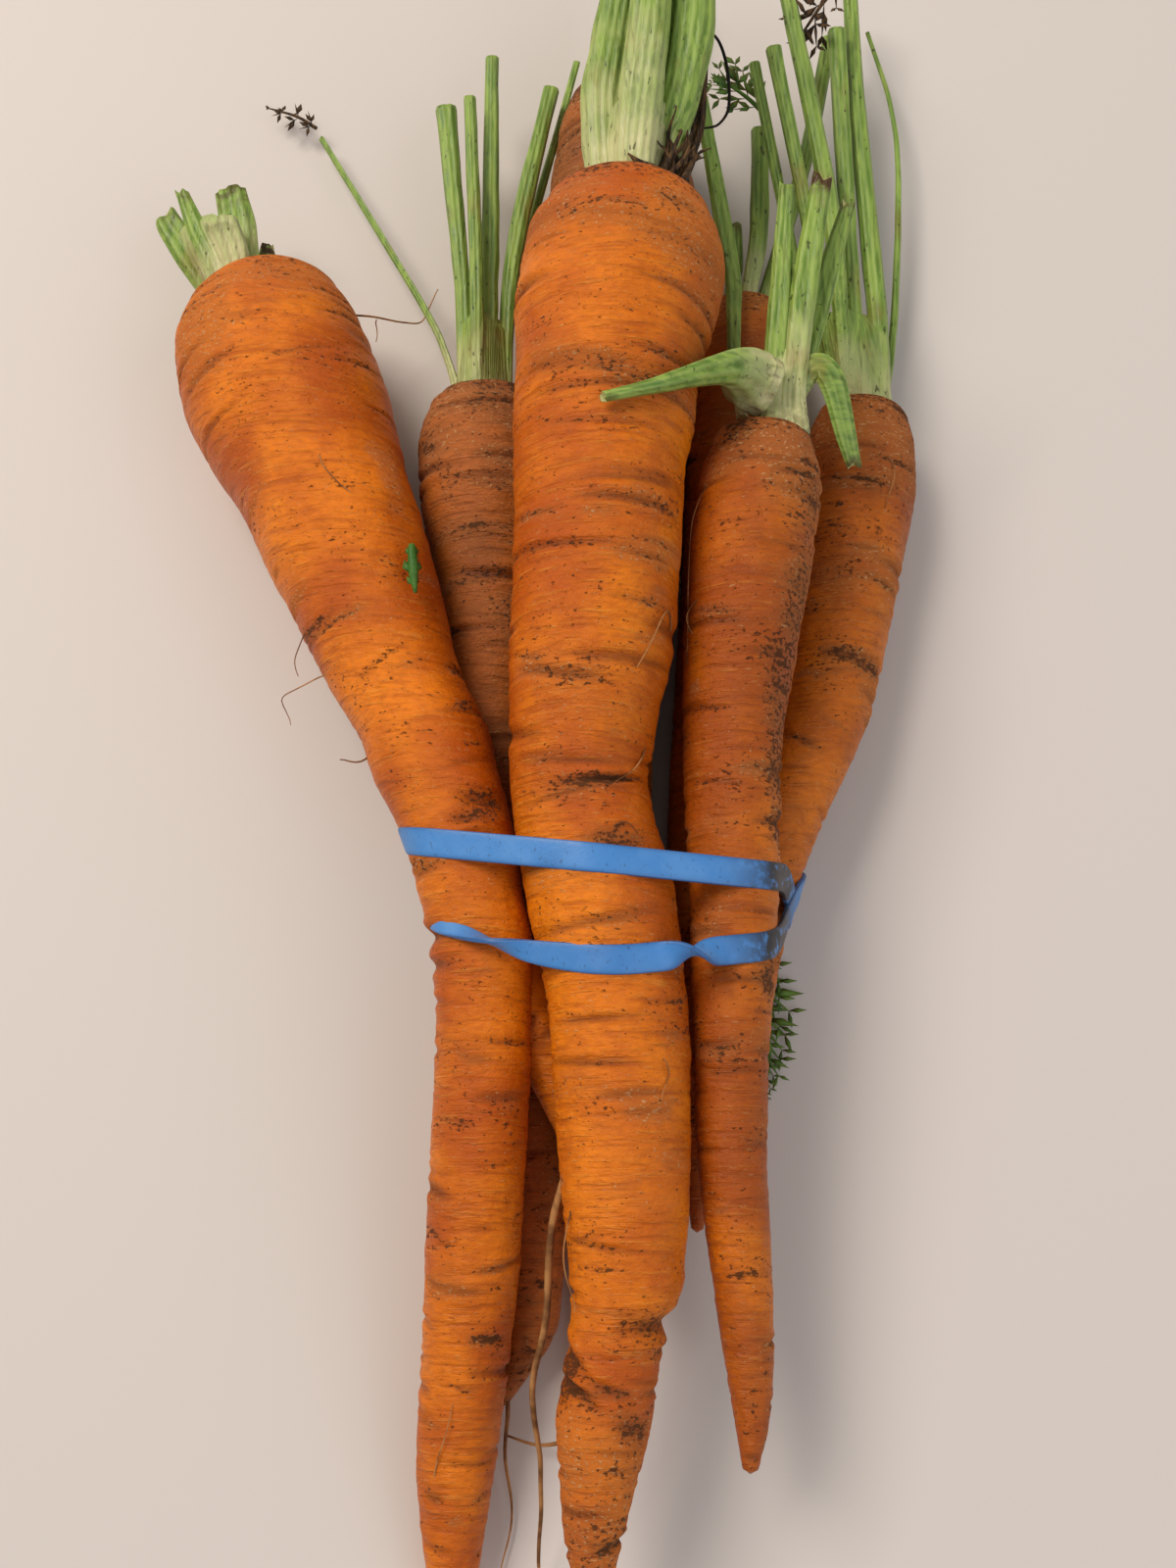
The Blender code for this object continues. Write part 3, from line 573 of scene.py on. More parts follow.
# Marks on each root, in millimetres and degrees: (down, angle, half its reach round the root, slant
# per radian, width, depth, earth, crust). A negative depth is a ridge.
MARKS = {
    "root_forked": [
        (14.0, 182.0, 62.0, 0.0, 11.0, -1.3, 0.0, 0.0),
        (10.0, 25.0, 34.0, 0.5, 0.35, 0.15, 0.9, 0.3), (12.5, 20.0, 30.0, 0.4, 0.30, 0.2, 0.9, 0.3),
        (15.0, 24.0, 34.0, 0.3, 0.35, 0.2, 0.9, 0.3), (18.0, 15.0, 24.0, 0.3, 0.9, 0.3, 0.5, 0.3),
        (25.0, 30.0, 30.0, 0.2, 0.35, 0.3, 0.8, 0.2), (33.0, 20.0, 26.0, 0.2, 0.35, 0.3, 0.8, 0.2),
        (46.0, 40.0, 16.0, 0.2, 3.0, -0.3, 0.0, 0.9), (14.0, 130.0, 30.0, 0.2, 3.0, -0.2, 0.0, 0.8),
        (96.5, 50.0, 34.0, -1.2, 1.3, 0.9, 0.9, 0.0), (98.5, 70.0, 30.0, -1.0, 0.8, 0.5, 0.7, 0.1),
        (112.8, 172.0, 42.0, 0.4, 1.3, 1.0, 0.2, 0.3), (104.0, 150.0, 30.0, 0.2, 0.8, 0.4, 0.1, 0.3),
        (118.0, 165.0, 50.0, 0.2, 0.9, 0.5, 0.2, 0.3), (192.6, 120.0, 22.0, 0.1, 0.7, 0.5, 0.2, 0.6),
        (150.0, 150.0, 36.0, 0.0, 0.9, 0.5, 0.1, 0.3), (178.0, 160.0, 30.0, 0.0, 0.7, 0.4, 0.1, 0.4),
    ],
    "root_center": [
        (103.0, 70.0, 34.0, 0.3, 1.4, 0.4, 0.8, 0.0), (100.5, 75.0, 24.0, 0.3, 0.9, 0.3, 0.6, 0.0),
        (172.5, 160.0, 42.0, -1.6, 1.1, 0.8, 0.8, 0.0), (176.5, 128.0, 34.0, -2.2, 0.8, 0.9, 0.8, 0.0),
        (175.0, 90.0, 36.0, -1.2, 0.7, 0.6, 0.7, 0.0), (180.0, 50.0, 34.0, -1.0, 1.6, 0.4, 0.9, 0.0),
        (136.5, 80.0, 34.0, 0.2, 0.6, 0.4, 0.1, 0.9), (139.0, 66.0, 26.0, 0.3, 0.5, 0.3, 0.0, 0.8),
        (198.0, 90.0, 170.0, 0.0, 9.0, 0.0, 0.30, 0.9), (176.0, 165.0, 30.0, -1.2, 2.4, 0.3, 1.1, 0.0),
        (162.0, 20.0, 60.0, 0.5, 2.2, -0.6, 0.1, 0.2), (166.5, 30.0, 66.0, 0.3, 1.2, 0.9, 0.4, 0.2),
        (70.0, 15.0, 40.0, 0.2, 1.2, 0.5, 0.1, 0.5), (86.0, 165.0, 50.0, 0.1, 1.0, 0.5, 0.1, 0.4),
        (14.0, 40.0, 40.0, 0.3, 1.0, 0.2, 0.25, 0.8), (8.0, 60.0, 16.0, 0.2, 0.8, 0.2, 0.5, 0.6),
        (10.0, 150.0, 50.0, -0.2, 1.6, 0.2, 0.1, 0.9), (20.0, 30.0, 50.0, 0.2, 0.8, 0.3, 0.3, 0.7),
        (24.0, 20.0, 40.0, 0.2, 0.7, 0.4, 0.5, 0.4), (31.0, 25.0, 44.0, 0.2, 0.6, 0.3, 0.4, 0.5),
        (34.0, 100.0, 60.0, 0.1, 1.4, 0.3, 0.4, 0.3), (42.0, 90.0, 50.0, 0.1, 0.5, 0.3, 0.5, 0.3),
        (113.0, 100.0, 60.0, 0.0, 0.8, 0.4, 0.2, 0.4),
    ],
    "root_small": [
        (63.0, 8.0, 34.0, 0.2, 2.2, 0.3, 0.9, 0.0), (12.0, 60.0, 40.0, 0.2, 0.8, 0.2, 0.4, 0.4),
        (26.0, 30.0, 34.0, 0.1, 5.0, 0.1, 0.75, 0.2), (40.0, 35.0, 38.0, 0.1, 6.0, 0.1, 0.70, 0.2),
        (54.0, 25.0, 34.0, 0.1, 5.0, 0.1, 0.75, 0.1), (84.0, 25.0, 34.0, 0.1, 3.0, 0.1, 0.8, 0.1),
        (150.0, 90.0, 50.0, 0.2, 0.7, 0.4, 0.3, 0.5), (94.0, 120.0, 40.0, 0.2, 0.7, 0.4, 0.4, 0.2),
        (45.0, 150.0, 40.0, 0.2, 0.7, 0.4, 0.5, 0.2), (153.0, 90.0, 120.0, 0.0, 0.8, 0.5, 0.8, 0.3),
    ],
    "root_right": [
        (30.0, 20.0, 50.0, 0.2, 0.9, 0.4, 0.2, 0.4), (52.0, 15.0, 40.0, 0.2, 0.8, 0.3, 0.0, 0.4),
    ],
}


def layered_noise(run, share, layers, seed):
    """A sum of layers of soft noise, `run` millimetres along and `share` of a turn round a root."""
    return sum(height * lattice_noise(run / size, share, cells, seed + step)
               for step, (height, size, cells) in enumerate(layers))


def carve(down, angle, mark, relief, maps):
    """Adds one crease or ridge: depth times a bell across its width, fading round the root; its
    earth and crust are wider bells of the same kind. Only the rows near it are touched."""
    where, middle, half, slant, width, depth, earth, crust = mark
    turned = np.mod(angle - middle + math.pi, TURN) - math.pi
    near = np.abs(down[:, 0] - where) < 5.0 + 2.5 * width + abs(slant) * half
    offset = down[near] - where - slant * turned
    window = fade(1.25 - np.abs(turned) / half) if half < math.pi else np.ones_like(turned)
    relief[near] -= depth * bell(offset / width) * window
    relief[near] += 0.35 * depth * bell((np.abs(offset) - 1.9 * width) / (0.8 * width)) * window
    # Painted shade in a groove, stronger the deeper it is.
    crease_shade = min(1.0, 2.0 * max(depth, 0.0))
    maps["crease"][near] += crease_shade * bell(offset / (0.8 * width)) * window
    maps["soil"][near] += earth * bell(offset / (1.5 * width)) * window
    maps["scurf"][near] += crust * bell(offset / (2.4 * width)) * window


def crown_to_tip(name):
    """Centre line of a root from the rim of its crown to its tip, and its crown end's Y. The radius
    near the rim is at least full * sqrt(1 - 0.30 * (1 - d / 7) ** 2) at d below it, a round shoulder,
    and the line lies at least a radius above the table."""
    low, high = box_mm(name)
    high[1] -= ROOTS[name]["drop"]
    levels = np.arange(high[1] - 0.6, low[1] + 0.4, -ROOT_CUT_STEP)
    start = round_fit(cut(node_edges(name), 1, levels[2])) if name == "root_forked" else None
    line = traced(name, 1, levels[2:] if start else levels, start, 1.9)
    rim = high[1]
    for _ in range(8):
        rim = high[1] - SHOULDER_HEIGHT * np.interp(-rim, -line[:, 1], line[:, 3])
    line = line[line[:, 1] < rim - 0.5]
    first = line[0] + (line[0] - line[3]) / (line[0, 1] - line[3, 1]) * (rim - line[0, 1])
    line = np.vstack([first, line])
    below = rim - line[:, 1]
    full = np.interp(FULL_RADIUS_AT, below, line[:, 3])
    bent_in = np.clip(1.0 - below / SHOULDER_LENGTH, 0.0, 1.0)
    round_shoulder = full * np.sqrt(1.0 - 0.30 * bent_in ** 2)
    line[:, 3] = np.where(bent_in > 0.0, np.maximum(line[:, 3], round_shoulder), line[:, 3])
    line[0, 3] = round_shoulder[0]
    line[:, 3] *= ROOTS[name].get("swell", 1.0)
    line[:, 2] = np.maximum(line[:, 2], line[:, 3])
    return line, high[1]


# The second leg: how far above the tip both legs are apart, how far above its free part it leaves
# the main leg's middle, and its radius there and half way.
LEGS_APART = 60.0
FORK_RISE = 17.0
WEB_RADII = (4.9, 5.7)


def second_leg():
    """Centre line of the forked root's other leg, followed up from its tip; its first two stations
    lead on from the main leg's middle, so that the fork has a web."""
    low, _ = box_mm("root_forked")
    edges = node_edges("root_forked")
    level = low[1] + LEGS_APART
    points = cut(edges, 1, level)
    points = points[np.argsort(points[:, 0])]
    split = np.argmax(np.diff(points[:, 0])) + 1
    start = round_fit(points[split:])
    up = traced("root_forked", 1, np.arange(level, level + 34.0, 1.8), start, 1.3)
    down = traced("root_forked", 1, np.arange(level, level - 14.0, -1.2), start, 1.3)
    leg = np.vstack([up[::-1], down[1:]])
    main, _ = root_paths["root_forked"]
    inside = [np.interp(-leg[0, 1] - FORK_RISE, -main[:, 1], main[:, k]) for k in (0, 1, 2)]
    inside = np.array([*inside, WEB_RADII[0]])
    middle = 0.5 * (inside + leg[0])
    middle[3] = WEB_RADII[1]
    return np.vstack([inside, middle, leg])


def plain_root(path):
    """Plain round rings of a root's own radius, which the band is pulled round."""
    path = softened(evenly(path, 160), 2.0)
    _, side, up = directions(path)
    return rings_round(path, np.repeat(path[:, 3:4], 48, axis=1), side, up)


def crown_cap(rim, tangent):
    """Stations of the crown over a root's first station: the shoulder profile times its radius."""
    count = int(34 * COARSE) + 6
    profile = smooth_curve([(height, radius, 0.0) for height, radius in SHOULDER], count)[:0:-1]
    centre = rim[:3] - tangent * rim[3] * profile[:, :1]
    return np.column_stack([centre, rim[3] * profile[:, 1]])


def random_mark(rng, length, deep):
    """A short crease at random, rather more of them near the crown. The cube of a random number
    makes a few of them strong: longer, wider and deeper."""
    strong = rng.random() ** 3
    where = length * rng.random() ** 1.15
    middle = TURN * rng.random()
    half = math.radians(rng.uniform(9.0, 34.0) + 30.0 * strong)
    slant = rng.normal(0.0, 0.5)
    width = rng.uniform(0.22, 0.42) + 0.35 * strong
    earth = rng.random() ** 3 * 0.9
    crust = rng.random() ** 2 * 0.8
    return where, middle, half, slant, width, deep * (0.35 + 1.5 * strong), earth, crust


def skin_maps(down, run, turn, look, marks):
    """A root's relief in millimetres, and where its skin holds creases, soil and scurf; the creases
    hold painted shade, darker the deeper they are. Soil and scurf are thickest at the crown, fade
    down the root as a bell and come in soft clouds."""
    share = np.broadcast_to(turn / TURN, down.shape)
    seed, dirty = look["seed"], look["crown"]
    relief = layered_noise(run, share, RIPPLES, seed + 3)
    maps = {key: np.zeros(down.shape) for key in ("crease", "soil", "scurf")}
    rng = np.random.default_rng(seed + 5)
    length = down.max()
    for _ in range(int(look["creases"] * length / 100.0)):
        carve(down, turn, random_mark(rng, length, look["deep"]), relief, maps)
    for where, middle, half, *rest in marks:
        carve(down, turn, (where, math.radians(middle), math.radians(half), *rest), relief, maps)
    top = bell(down / 14.0)
    cloud = layered_noise(run, share, CLOUDS, seed + 6)
    maps["soil"] += dirty * top * fade(0.45 + 0.6 * cloud) + 0.5 * fade(cloud - 0.75) * dirty
    dusting = lattice_noise(run / 9.0, share, 5, seed + 8)
    maps["scurf"] += look["scurf"] * (fade(0.4 + dusting) + top) + 0.9 * dirty * bell(down / 9.0)
    # A line of soil lies round the crown's own edge.
    maps["soil"] += 0.5 * bell((down - 1.0) / 2.5)
    return relief, maps


def root_surface(path, crown_y, look, marks, domed=True):
    """A root: rings of radius r(s) * (1 + soft lumps) + relief round its centre line. The relief is
    fine ripples and short creases that run across the root. The crown is the shoulder profile,
    a rounded rim that turns in to a dip, and the tip closes to a point."""
    rows, sides = int(look["rows"] * COARSE), int(look["sides"] * COARSE)
    path = softened(evenly(path, rows), 2.2 * rows / lengths_along(path)[-1])
    path[:, 3] = np.maximum(path[:, 3], THINNEST_TIP)
    tangent, side, up = directions(path)
    if domed:
        cap = crown_cap(path[0], tangent[0])
        path = np.vstack([cap, path])
        side = np.vstack([np.repeat(side[:1], len(cap), axis=0), side])
        up = np.vstack([np.repeat(up[:1], len(cap), axis=0), up])
    turn = TURN * np.arange(sides) / sides
    shape = (len(path), sides)
    run = np.broadcast_to(lengths_along(path)[:, None], shape)
    down = np.broadcast_to(crown_y - path[:, 1:2], shape)
    radius = np.broadcast_to(path[:, 3:4], shape)
    lumps = layered_noise(run, np.broadcast_to(turn / TURN, shape), LUMPS, look["seed"])
    relief, maps = skin_maps(down, run, turn, look, marks)
    full = radius * (1.0 + lumps) + relief * np.clip(radius / 4.0, 0.15, 1.0)
    rings = rings_round(path, full, side, up)
    end = path[-1, :3] + tangent[-1] * path[-1, 3] * 0.7
    start = path[0, :3] if domed else path[0, :3] - tangent[0] * path[0, 3] * 0.3
    points, quads, triangles = closed_surface(rings, start, end)
    values = with_ends({key: np.clip(value, 0.0, 1.5) for key, value in maps.items()})
    return points, quads, triangles, values


root_paths = {name: crown_to_tip(name) for name in ROOTS}
plain_roots = [plain_root(path) for path, _ in root_paths.values()]
for name, look in ROOTS.items():
    path, crown_y = root_paths[name]
    shape = root_surface(path, crown_y, look, MARKS.get(name, []))
    if name == "root_forked":
        other = root_surface(second_leg(), crown_y, {**look, **SECOND_LEG}, [], domed=False)
        shape = joined([shape, other])
    skin = SKINS.get(name, clean_skin)
    slot = "muddy_carrot_skin" if skin is earthy_skin else "carrot_skin"
    make_piece(name + "_skin", shape, skin, [name])


# ---------------------------------------------------------------- stalks

# The rings that close a cut: part of the stalk's radius, and depth as a part of CUT_DEPTH radii.
CUT_RINGS = ((0.93, 0.0), (0.80, -0.12), (0.5, -0.25), (0.2, -0.15))
CUT_DEPTH = 0.6
# How far the last rings before the cut share in its frayed edge, and how bare the closing rings are.
FRAYED = np.array([0.3, 0.7, 1.0])
BARE = [[0.4], [1.0], [0.8], [0.6]]
STALK_CUT_STEP = 1.2
STALK_RING_STEP = 0.55


def stalk_line(name, axis, downwards, route, trim):
    """A stalk's centre line and radius, from its CAD solid or from a route in its box, without the
    last `trim` millimetres."""
    low, high = box_mm(name)
    span = high[axis] - low[axis]
    levels = np.arange(low[axis] + min(0.5, 0.04 * span), high[axis] - 0.3, STALK_CUT_STEP)
    line = smooth_curve(inside_box(name, route), 40) if route else traced(name, axis, levels)
    if downwards:
        line = line[::-1]
    length = lengths_along(line)[-1] - trim
    return line[lengths_along(line) <= length], length


def closing_rings(station, full, tangent, spokes, ragged):
    """The rings that close a cut: shrinking copies of the last ring, a little sunk and as ragged."""
    middles = [station[:3] + tangent * depth * station[3] * CUT_DEPTH for _, depth in CUT_RINGS]
    return np.array([middle + scale * (full[:, None] * spokes + ragged * tangent)
                     for middle, (scale, _) in zip(middles, CUT_RINGS)])


def stalk(name, axis=1, downwards=False, ribs=9, rib_depth=0.07, pale=0.5, flare=0.25, torn=0.0,
          bury=6.0, reference=(0.0, 0.0, 1.0), seed=1, bruise=0.0, sides=54, channel=0.18, thick=1.0,
          flat=1.0, flare_length=4.5, trim=0.0, route=None):
    """A leaf stalk: rings of radius r * thick * (1 + flare) * (1 + ribs - channel + soft noise) round
    its line. The flare fades as a bell from the crown, the channel runs along the upper side, and
    flat presses the section. It starts `bury` inside the crown and ends in a flat or torn cut. Pale
    says how slowly it turns green."""
    line, length = stalk_line(name, axis, downwards, route, trim)
    rows = max(12, int(length / STALK_RING_STEP * COARSE))
    path = softened(evenly(line, rows), 1.6 * rows / length)
    tangent, _, _ = directions(path, reference)
    buried = path[0] - np.concatenate([tangent[0], [0.0]]) * bury
    steps = np.linspace(0.0, 1.0, 6, endpoint=False)[:, None]
    path = np.vstack([buried * (1.0 - steps) + path[0] * steps, path])
    tangent, side, up = directions(path, reference)
    run = lengths_along(path)
    sides = int(sides * COARSE)
    turn = TURN * np.arange(sides) / sides
    share = np.broadcast_to(turn / TURN, (len(path), sides))
    along = np.broadcast_to(run[:, None], share.shape)
    rng = np.random.default_rng(seed)
    phase = rng.random() * TURN
    wave = 0.5 + 0.5 * np.cos(ribs * turn + phase + 0.25 * np.sin(along / 9.0))
    swell = thick * (1.0 + flare * bell(along / flare_length))
    groove = channel * bell((np.mod(turn - math.pi / 2.0 + math.pi, TURN) - math.pi) / 0.55)
    wobble = 0.05 * lattice_noise(along / 5.0, share, 4, seed + 1)
    full = path[:, 3:4] * swell * (1.0 + rib_depth * (wave - 0.5) - groove + wobble)
    frayed = lattice_noise(np.zeros_like(share[:1]), share[:1], 7, seed + 2)[0]
    spokes = np.cos(turn)[:, None] * side[:, None] + flat * np.sin(turn)[:, None] * up[:, None]
    rings = path[:, None, :3] + full[..., None] * spokes
    rings[-3:] += torn * FRAYED[:, None, None] * frayed[None, :, None] * tangent[-1][None, None, :]
    inner = closing_rings(path[-1], full[-1], tangent[-1], spokes[-1], torn * frayed[:, None])
    rings = np.vstack([rings, inner])
    end = path[-1, :3] - tangent[-1] * 0.1 * path[-1, 3]
    points, quads, triangles = closed_surface(rings, path[0, :3], end)
    rise = np.clip(along / (9.0 + 26.0 * pale), 0.0, 1.0)
    grown = np.vstack([rise, np.repeat(rise[-1:], len(BARE), axis=0)])
    rib = np.vstack([wave * np.ones_like(along), np.zeros((len(BARE), sides))])
    opened = np.vstack([np.zeros_like(along), np.repeat(BARE, sides, axis=1)])
    hurt = bruise * (bell((run[-1] - along) / 2.2) + 0.8 * bell(along / 5.0))
    hurt = np.vstack([hurt, np.full((len(BARE), sides), 0.25 * bruise)])
    return points, quads, triangles, with_ends({"rise": grown, "rib": rib, "cut": opened, "bruise": hurt})


# What the stubs of the forked root, the thick stalks of the centre root, the upright stubs of the
# small root and the plain slender stalks have in common.
STUB = dict(torn=1.6, channel=0.35, flat=0.8, flare_length=7.0, rib_depth=0.16)
THICK = dict(ribs=15, rib_depth=0.10, bruise=0.2, thick=1.35, flare_length=12.0)
UPRIGHT = dict(flare=0.6, flat=0.75, channel=0.3)
PLAIN = dict(flare=0.4)
SLENDER = dict(flare=0.3)
SNAPPED_ROUTE = [(-0.10, 0.50, 0.70, 1.3), (0.14, 0.88, 0.90, 1.9), (0.32, 0.96, 0.94, 2.3),
                 (0.50, 0.80, 0.84, 2.3), (0.62, 0.53, 0.65, 2.0), (0.74, 0.26, 0.42, 1.7),
                 (0.89, -0.03, 0.14, 1.2)]

# How each stalk differs from that and from a round green stalk with a clean cut.
STALKS = {
    "stalk_forked_1": dict(STUB, ribs=8, pale=0.2, torn=1.2, bruise=0.5, flare=0.5, thick=1.45, flat=0.7),
    "stalk_forked_2": dict(STUB, ribs=7, pale=0.3, bruise=0.8, flare=1.2, rib_depth=0.14, channel=0.2,
                           thick=1.25, flare_length=6.0, trim=1.3),
    "stalk_forked_3": dict(STUB, ribs=8, pale=1.3, torn=1.4, bruise=0.5, flare=0.7, channel=0.3,
                           thick=1.6, trim=3.4),
    "stalk_forked_4": dict(STUB, ribs=9, pale=0.4, bruise=0.8, flare=0.6, thick=1.35, flat=0.7, trim=2.6),
    "stalk_forked_5": dict(STUB, ribs=6, pale=0.4, bruise=2.0, flare=0.9, rib_depth=0.3, channel=0.2,
                           thick=1.3, flat=0.9, flare_length=5.0, trim=1.8),
    "stalk_center_1": dict(THICK, pale=1.3, flare=0.35),
    "stalk_center_2": dict(THICK, pale=1.3, flare=0.30),
    "stalk_center_3": dict(THICK, rib_depth=0.09, flare=0.30, bruise=0.3),
    "stalk_center_4": dict(THICK, ribs=13, pale=1.0, flare=0.4, thick=1.3),
    "stalk_muddy_1": PLAIN,
    "stalk_muddy_2": dict(PLAIN, pale=0.4),
    "stalk_muddy_3": PLAIN,
    "stalk_muddy_4": dict(PLAIN, pale=0.3),
    "stalk_muddy_5": dict(PLAIN, pale=0.2, ribs=7),
    "stalk_small_1": dict(UPRIGHT, pale=0.3, torn=0.8, bruise=0.4, thick=1.25),
    "stalk_small_2": dict(UPRIGHT, pale=0.8, torn=1.2, bruise=1.6, thick=1.35),
    "stalk_small_3": dict(UPRIGHT, pale=0.2, flare=0.5, torn=0.9, bruise=0.8, thick=1.3, flat=0.7,
                          channel=0.35),
    "broken_stalk_left": dict(axis=0, downwards=True, reference=(0.0, 1.0, 0.0), pale=0.3, flare=0.6,
                              bury=1.5, torn=0.4, bruise=0.5, channel=0.45, flare_length=9.0, thick=1.1),
    "broken_stalk_right": dict(route=SNAPPED_ROUTE, reference=(0.3, -0.2, 1.0), pale=0.1, flare=0.1,
                               bury=1.0, torn=0.7, bruise=0.8, channel=0.4, flat=0.5, rib_depth=0.14),
    "outer_stalk_small": dict(pale=0.2, flare=0.2, ribs=7, bury=1.0),
    "stalk_right_1": dict(SLENDER, pale=0.4),
    "stalk_right_2": dict(flare=0.5),
    "stalk_right_3": dict(SLENDER, pale=0.3, ribs=6, sides=30),
    "stalk_right_4": SLENDER,
    "stalk_right_5": dict(SLENDER, pale=0.4),
    "stalk_right_6": dict(SLENDER, pale=0.3, ribs=7),
    "stalk_long_1": PLAIN,
    "stalk_long_2": PLAIN,
    "stalk_hidden_1": dict(pale=0.6, flare=0.5, bruise=0.3),
    "stalk_hidden_2": dict(PLAIN, pale=0.3),
    "stalk_hidden_3": dict(PLAIN, torn=0.4, bruise=0.8),
}
for index, (name, look) in enumerate(STALKS.items()):
    skin = stalk_bent if name.startswith("broken") else stalk_green
    make_piece(name + "_ribbed", stalk(name, seed=101 + 7 * index, **look), skin, [name])


def dry_piece(name, depth, seed):
    """A dried sheath or stalk: the CAD solid's centre line with a shrivelled, ridged section."""
    return stalk(name, ribs=5, rib_depth=depth, flare=0.2, torn=0.5, bury=0.6, seed=seed, sides=28,
                 channel=0.3)


# The thin black curl on the centre root, by parts of its CAD box and radius.
CURL = [(0.10, 1.00, 0.50, 0.16), (0.55, 0.93, 0.40, 0.26), (0.82, 0.80, 0.30, 0.28),
        (0.93, 0.63, 0.30, 0.28), (0.87, 0.44, 0.50, 0.26), (0.51, 0.33, 0.70, 0.22),
        (0.09, 0.29, 0.95, 0.18), (-0.49, 0.27, 1.20, 0.14)]
make_piece("dry_sheath_center_fibre", dry_piece("dry_sheath_center", 0.5, 301), dry_matter,
           ["dry_sheath_center"])
make_piece("dry_curl_center_fibre", thread(inside_box("dry_curl_center", CURL), 8), black_thread,
           ["dry_curl_center"])
make_piece("dry_stalk_muddy_fibre", dry_piece("dry_stalk_muddy", 0.2, 311), stalk_green,
           ["dry_stalk_muddy"])


# A joined base starts this deep in the crown, and its outline shrinks to this part of the stalks'.
BASE_SINK = 6.0
BASE_PINCH = 0.35


def leaf_base(names, height, swell, ribs, seed, climbs):
    """The stalks' joined bases: at each level up from the crown, the tight outline of the stalks'
    sections, whose radii are swollen at the bottom and shrink upwards, so that the sheath opens
    into the separate stalks. Fine ribs run up it, and `climbs` says how green its two ends are."""
    lines = []
    for name in names:
        low, high = box_mm(name)
        lines.append(traced(name, 1, np.arange(low[1] + 0.5, high[1] - 0.3, 1.5)))
    foot = max(line[0, 1] for line in lines)
    rows, sides = int(44 * COARSE), int(150 * COARSE)
    part = np.linspace(0.0, 1.0, rows)
    turn = TURN * np.arange(sides) / sides
    level = foot - BASE_SINK + (height + BASE_SINK) * part
    spots = np.array([[np.interp(level, line[:, 1], line[:, k]) for k in (0, 2, 3)] for line in lines])
    middle = spots[:, :2].mean(axis=0)
    margin = spots[:, 2] * (swell * (1.0 - part) + BASE_PINCH * part)
    outline = [tight_outline(spots[:, :2, row] - middle[:, row], margin[:, row], turn)
               for row in range(rows)]
    wave = np.cos(ribs * turn[None, :] + 2.0 * part[:, None])
    reach = np.array(outline) * (1.0 + 0.018 * wave + 0.03 * np.sin(3.0 * turn + seed))
    reach *= 1.0 - 0.3 * np.clip((part - 0.9) / 0.1, 0.0, 1.0)[:, None]
    rings = np.stack([middle[0][:, None] + reach * np.cos(turn), np.repeat(level[:, None], sides, axis=1),
                      middle[1][:, None] + reach * np.sin(turn)], axis=-1)[:, ::-1]
    points, quads, triangles = closed_surface(rings, rings[0].mean(axis=0), rings[-1].mean(axis=0))
    climb = np.repeat(climbs[0] + (climbs[1] - climbs[0]) * part, sides)
    values = {"rise": climb, "rib": 0.5 + 0.5 * wave[:, ::-1], "cut": 0.0 * climb,
              "bruise": 0.5 * np.repeat(bell(part / 0.3), sides)}
    return points, quads, triangles, with_ends(values)


# Each joined base: its stalks, height, swelling, ribs and greenness at its foot and top.
LEAF_BASES = {
    "leaf_base_center": ("center", (1, 2, 3, 4), 15.0, 1.65, 46, (0.0, 0.36)),
    "leaf_base_forked": ("forked", (1, 2, 3, 4), 8.0, 1.45, 30, (0.0, 0.5)),
    "leaf_base_muddy": ("muddy", (1, 2, 3, 4), 13.0, 1.45, 34, (0.35, 0.8)),
    "leaf_base_small": ("small", (1, 2, 3), 9.0, 1.8, 24, (0.1, 0.45)),
    "leaf_base_right": ("right", (1, 2, 4, 5), 14.0, 1.05, 34, (0.25, 0.8)),
}
for index, (name, (root, numbers, height, swell, ribs, climbs)) in enumerate(LEAF_BASES.items()):
    stalk_names = [f"stalk_{root}_{number}" for number in numbers]
    sheath = leaf_base(stalk_names, height, swell, ribs, 211 + index, climbs)
    make_piece(name, sheath, stalk_green)


def blades(origin, direction, facing, length, width, thickness):
    """Flat pointed leaf lobes, each a stretched octahedron of 8 faces: base, tip, two sides at
    0.45 of its length and a thin top and bottom."""
    side = np.cross(facing, direction)
    side /= np.linalg.norm(side, axis=1)[:, None]
    middle = origin + 0.45 * length[:, None] * direction
    corners = np.stack([origin, middle + width[:, None] * side, middle + thickness * facing,
                        middle - width[:, None] * side, middle - thickness * facing,
                        origin + length[:, None] * direction], axis=1)
    pattern = np.array([(0, 2, 1), (0, 3, 2), (0, 4, 3), (0, 1, 4),
                        (5, 1, 2), (5, 2, 3), (5, 3, 4), (5, 4, 1)])
    faces = pattern[None] + 6 * np.arange(len(origin))[:, None, None]
    tip = np.tile([0.0, 0.5, 0.4, 0.5, 0.4, 1.0], len(origin))
    return corners.reshape(-1, 3), np.zeros((0, 4), dtype=int), faces.reshape(-1, 3), {"tip": tip}


def unit(vectors):
    """Each row scaled to length 1."""
    return vectors / np.linalg.norm(vectors, axis=-1, keepdims=True)


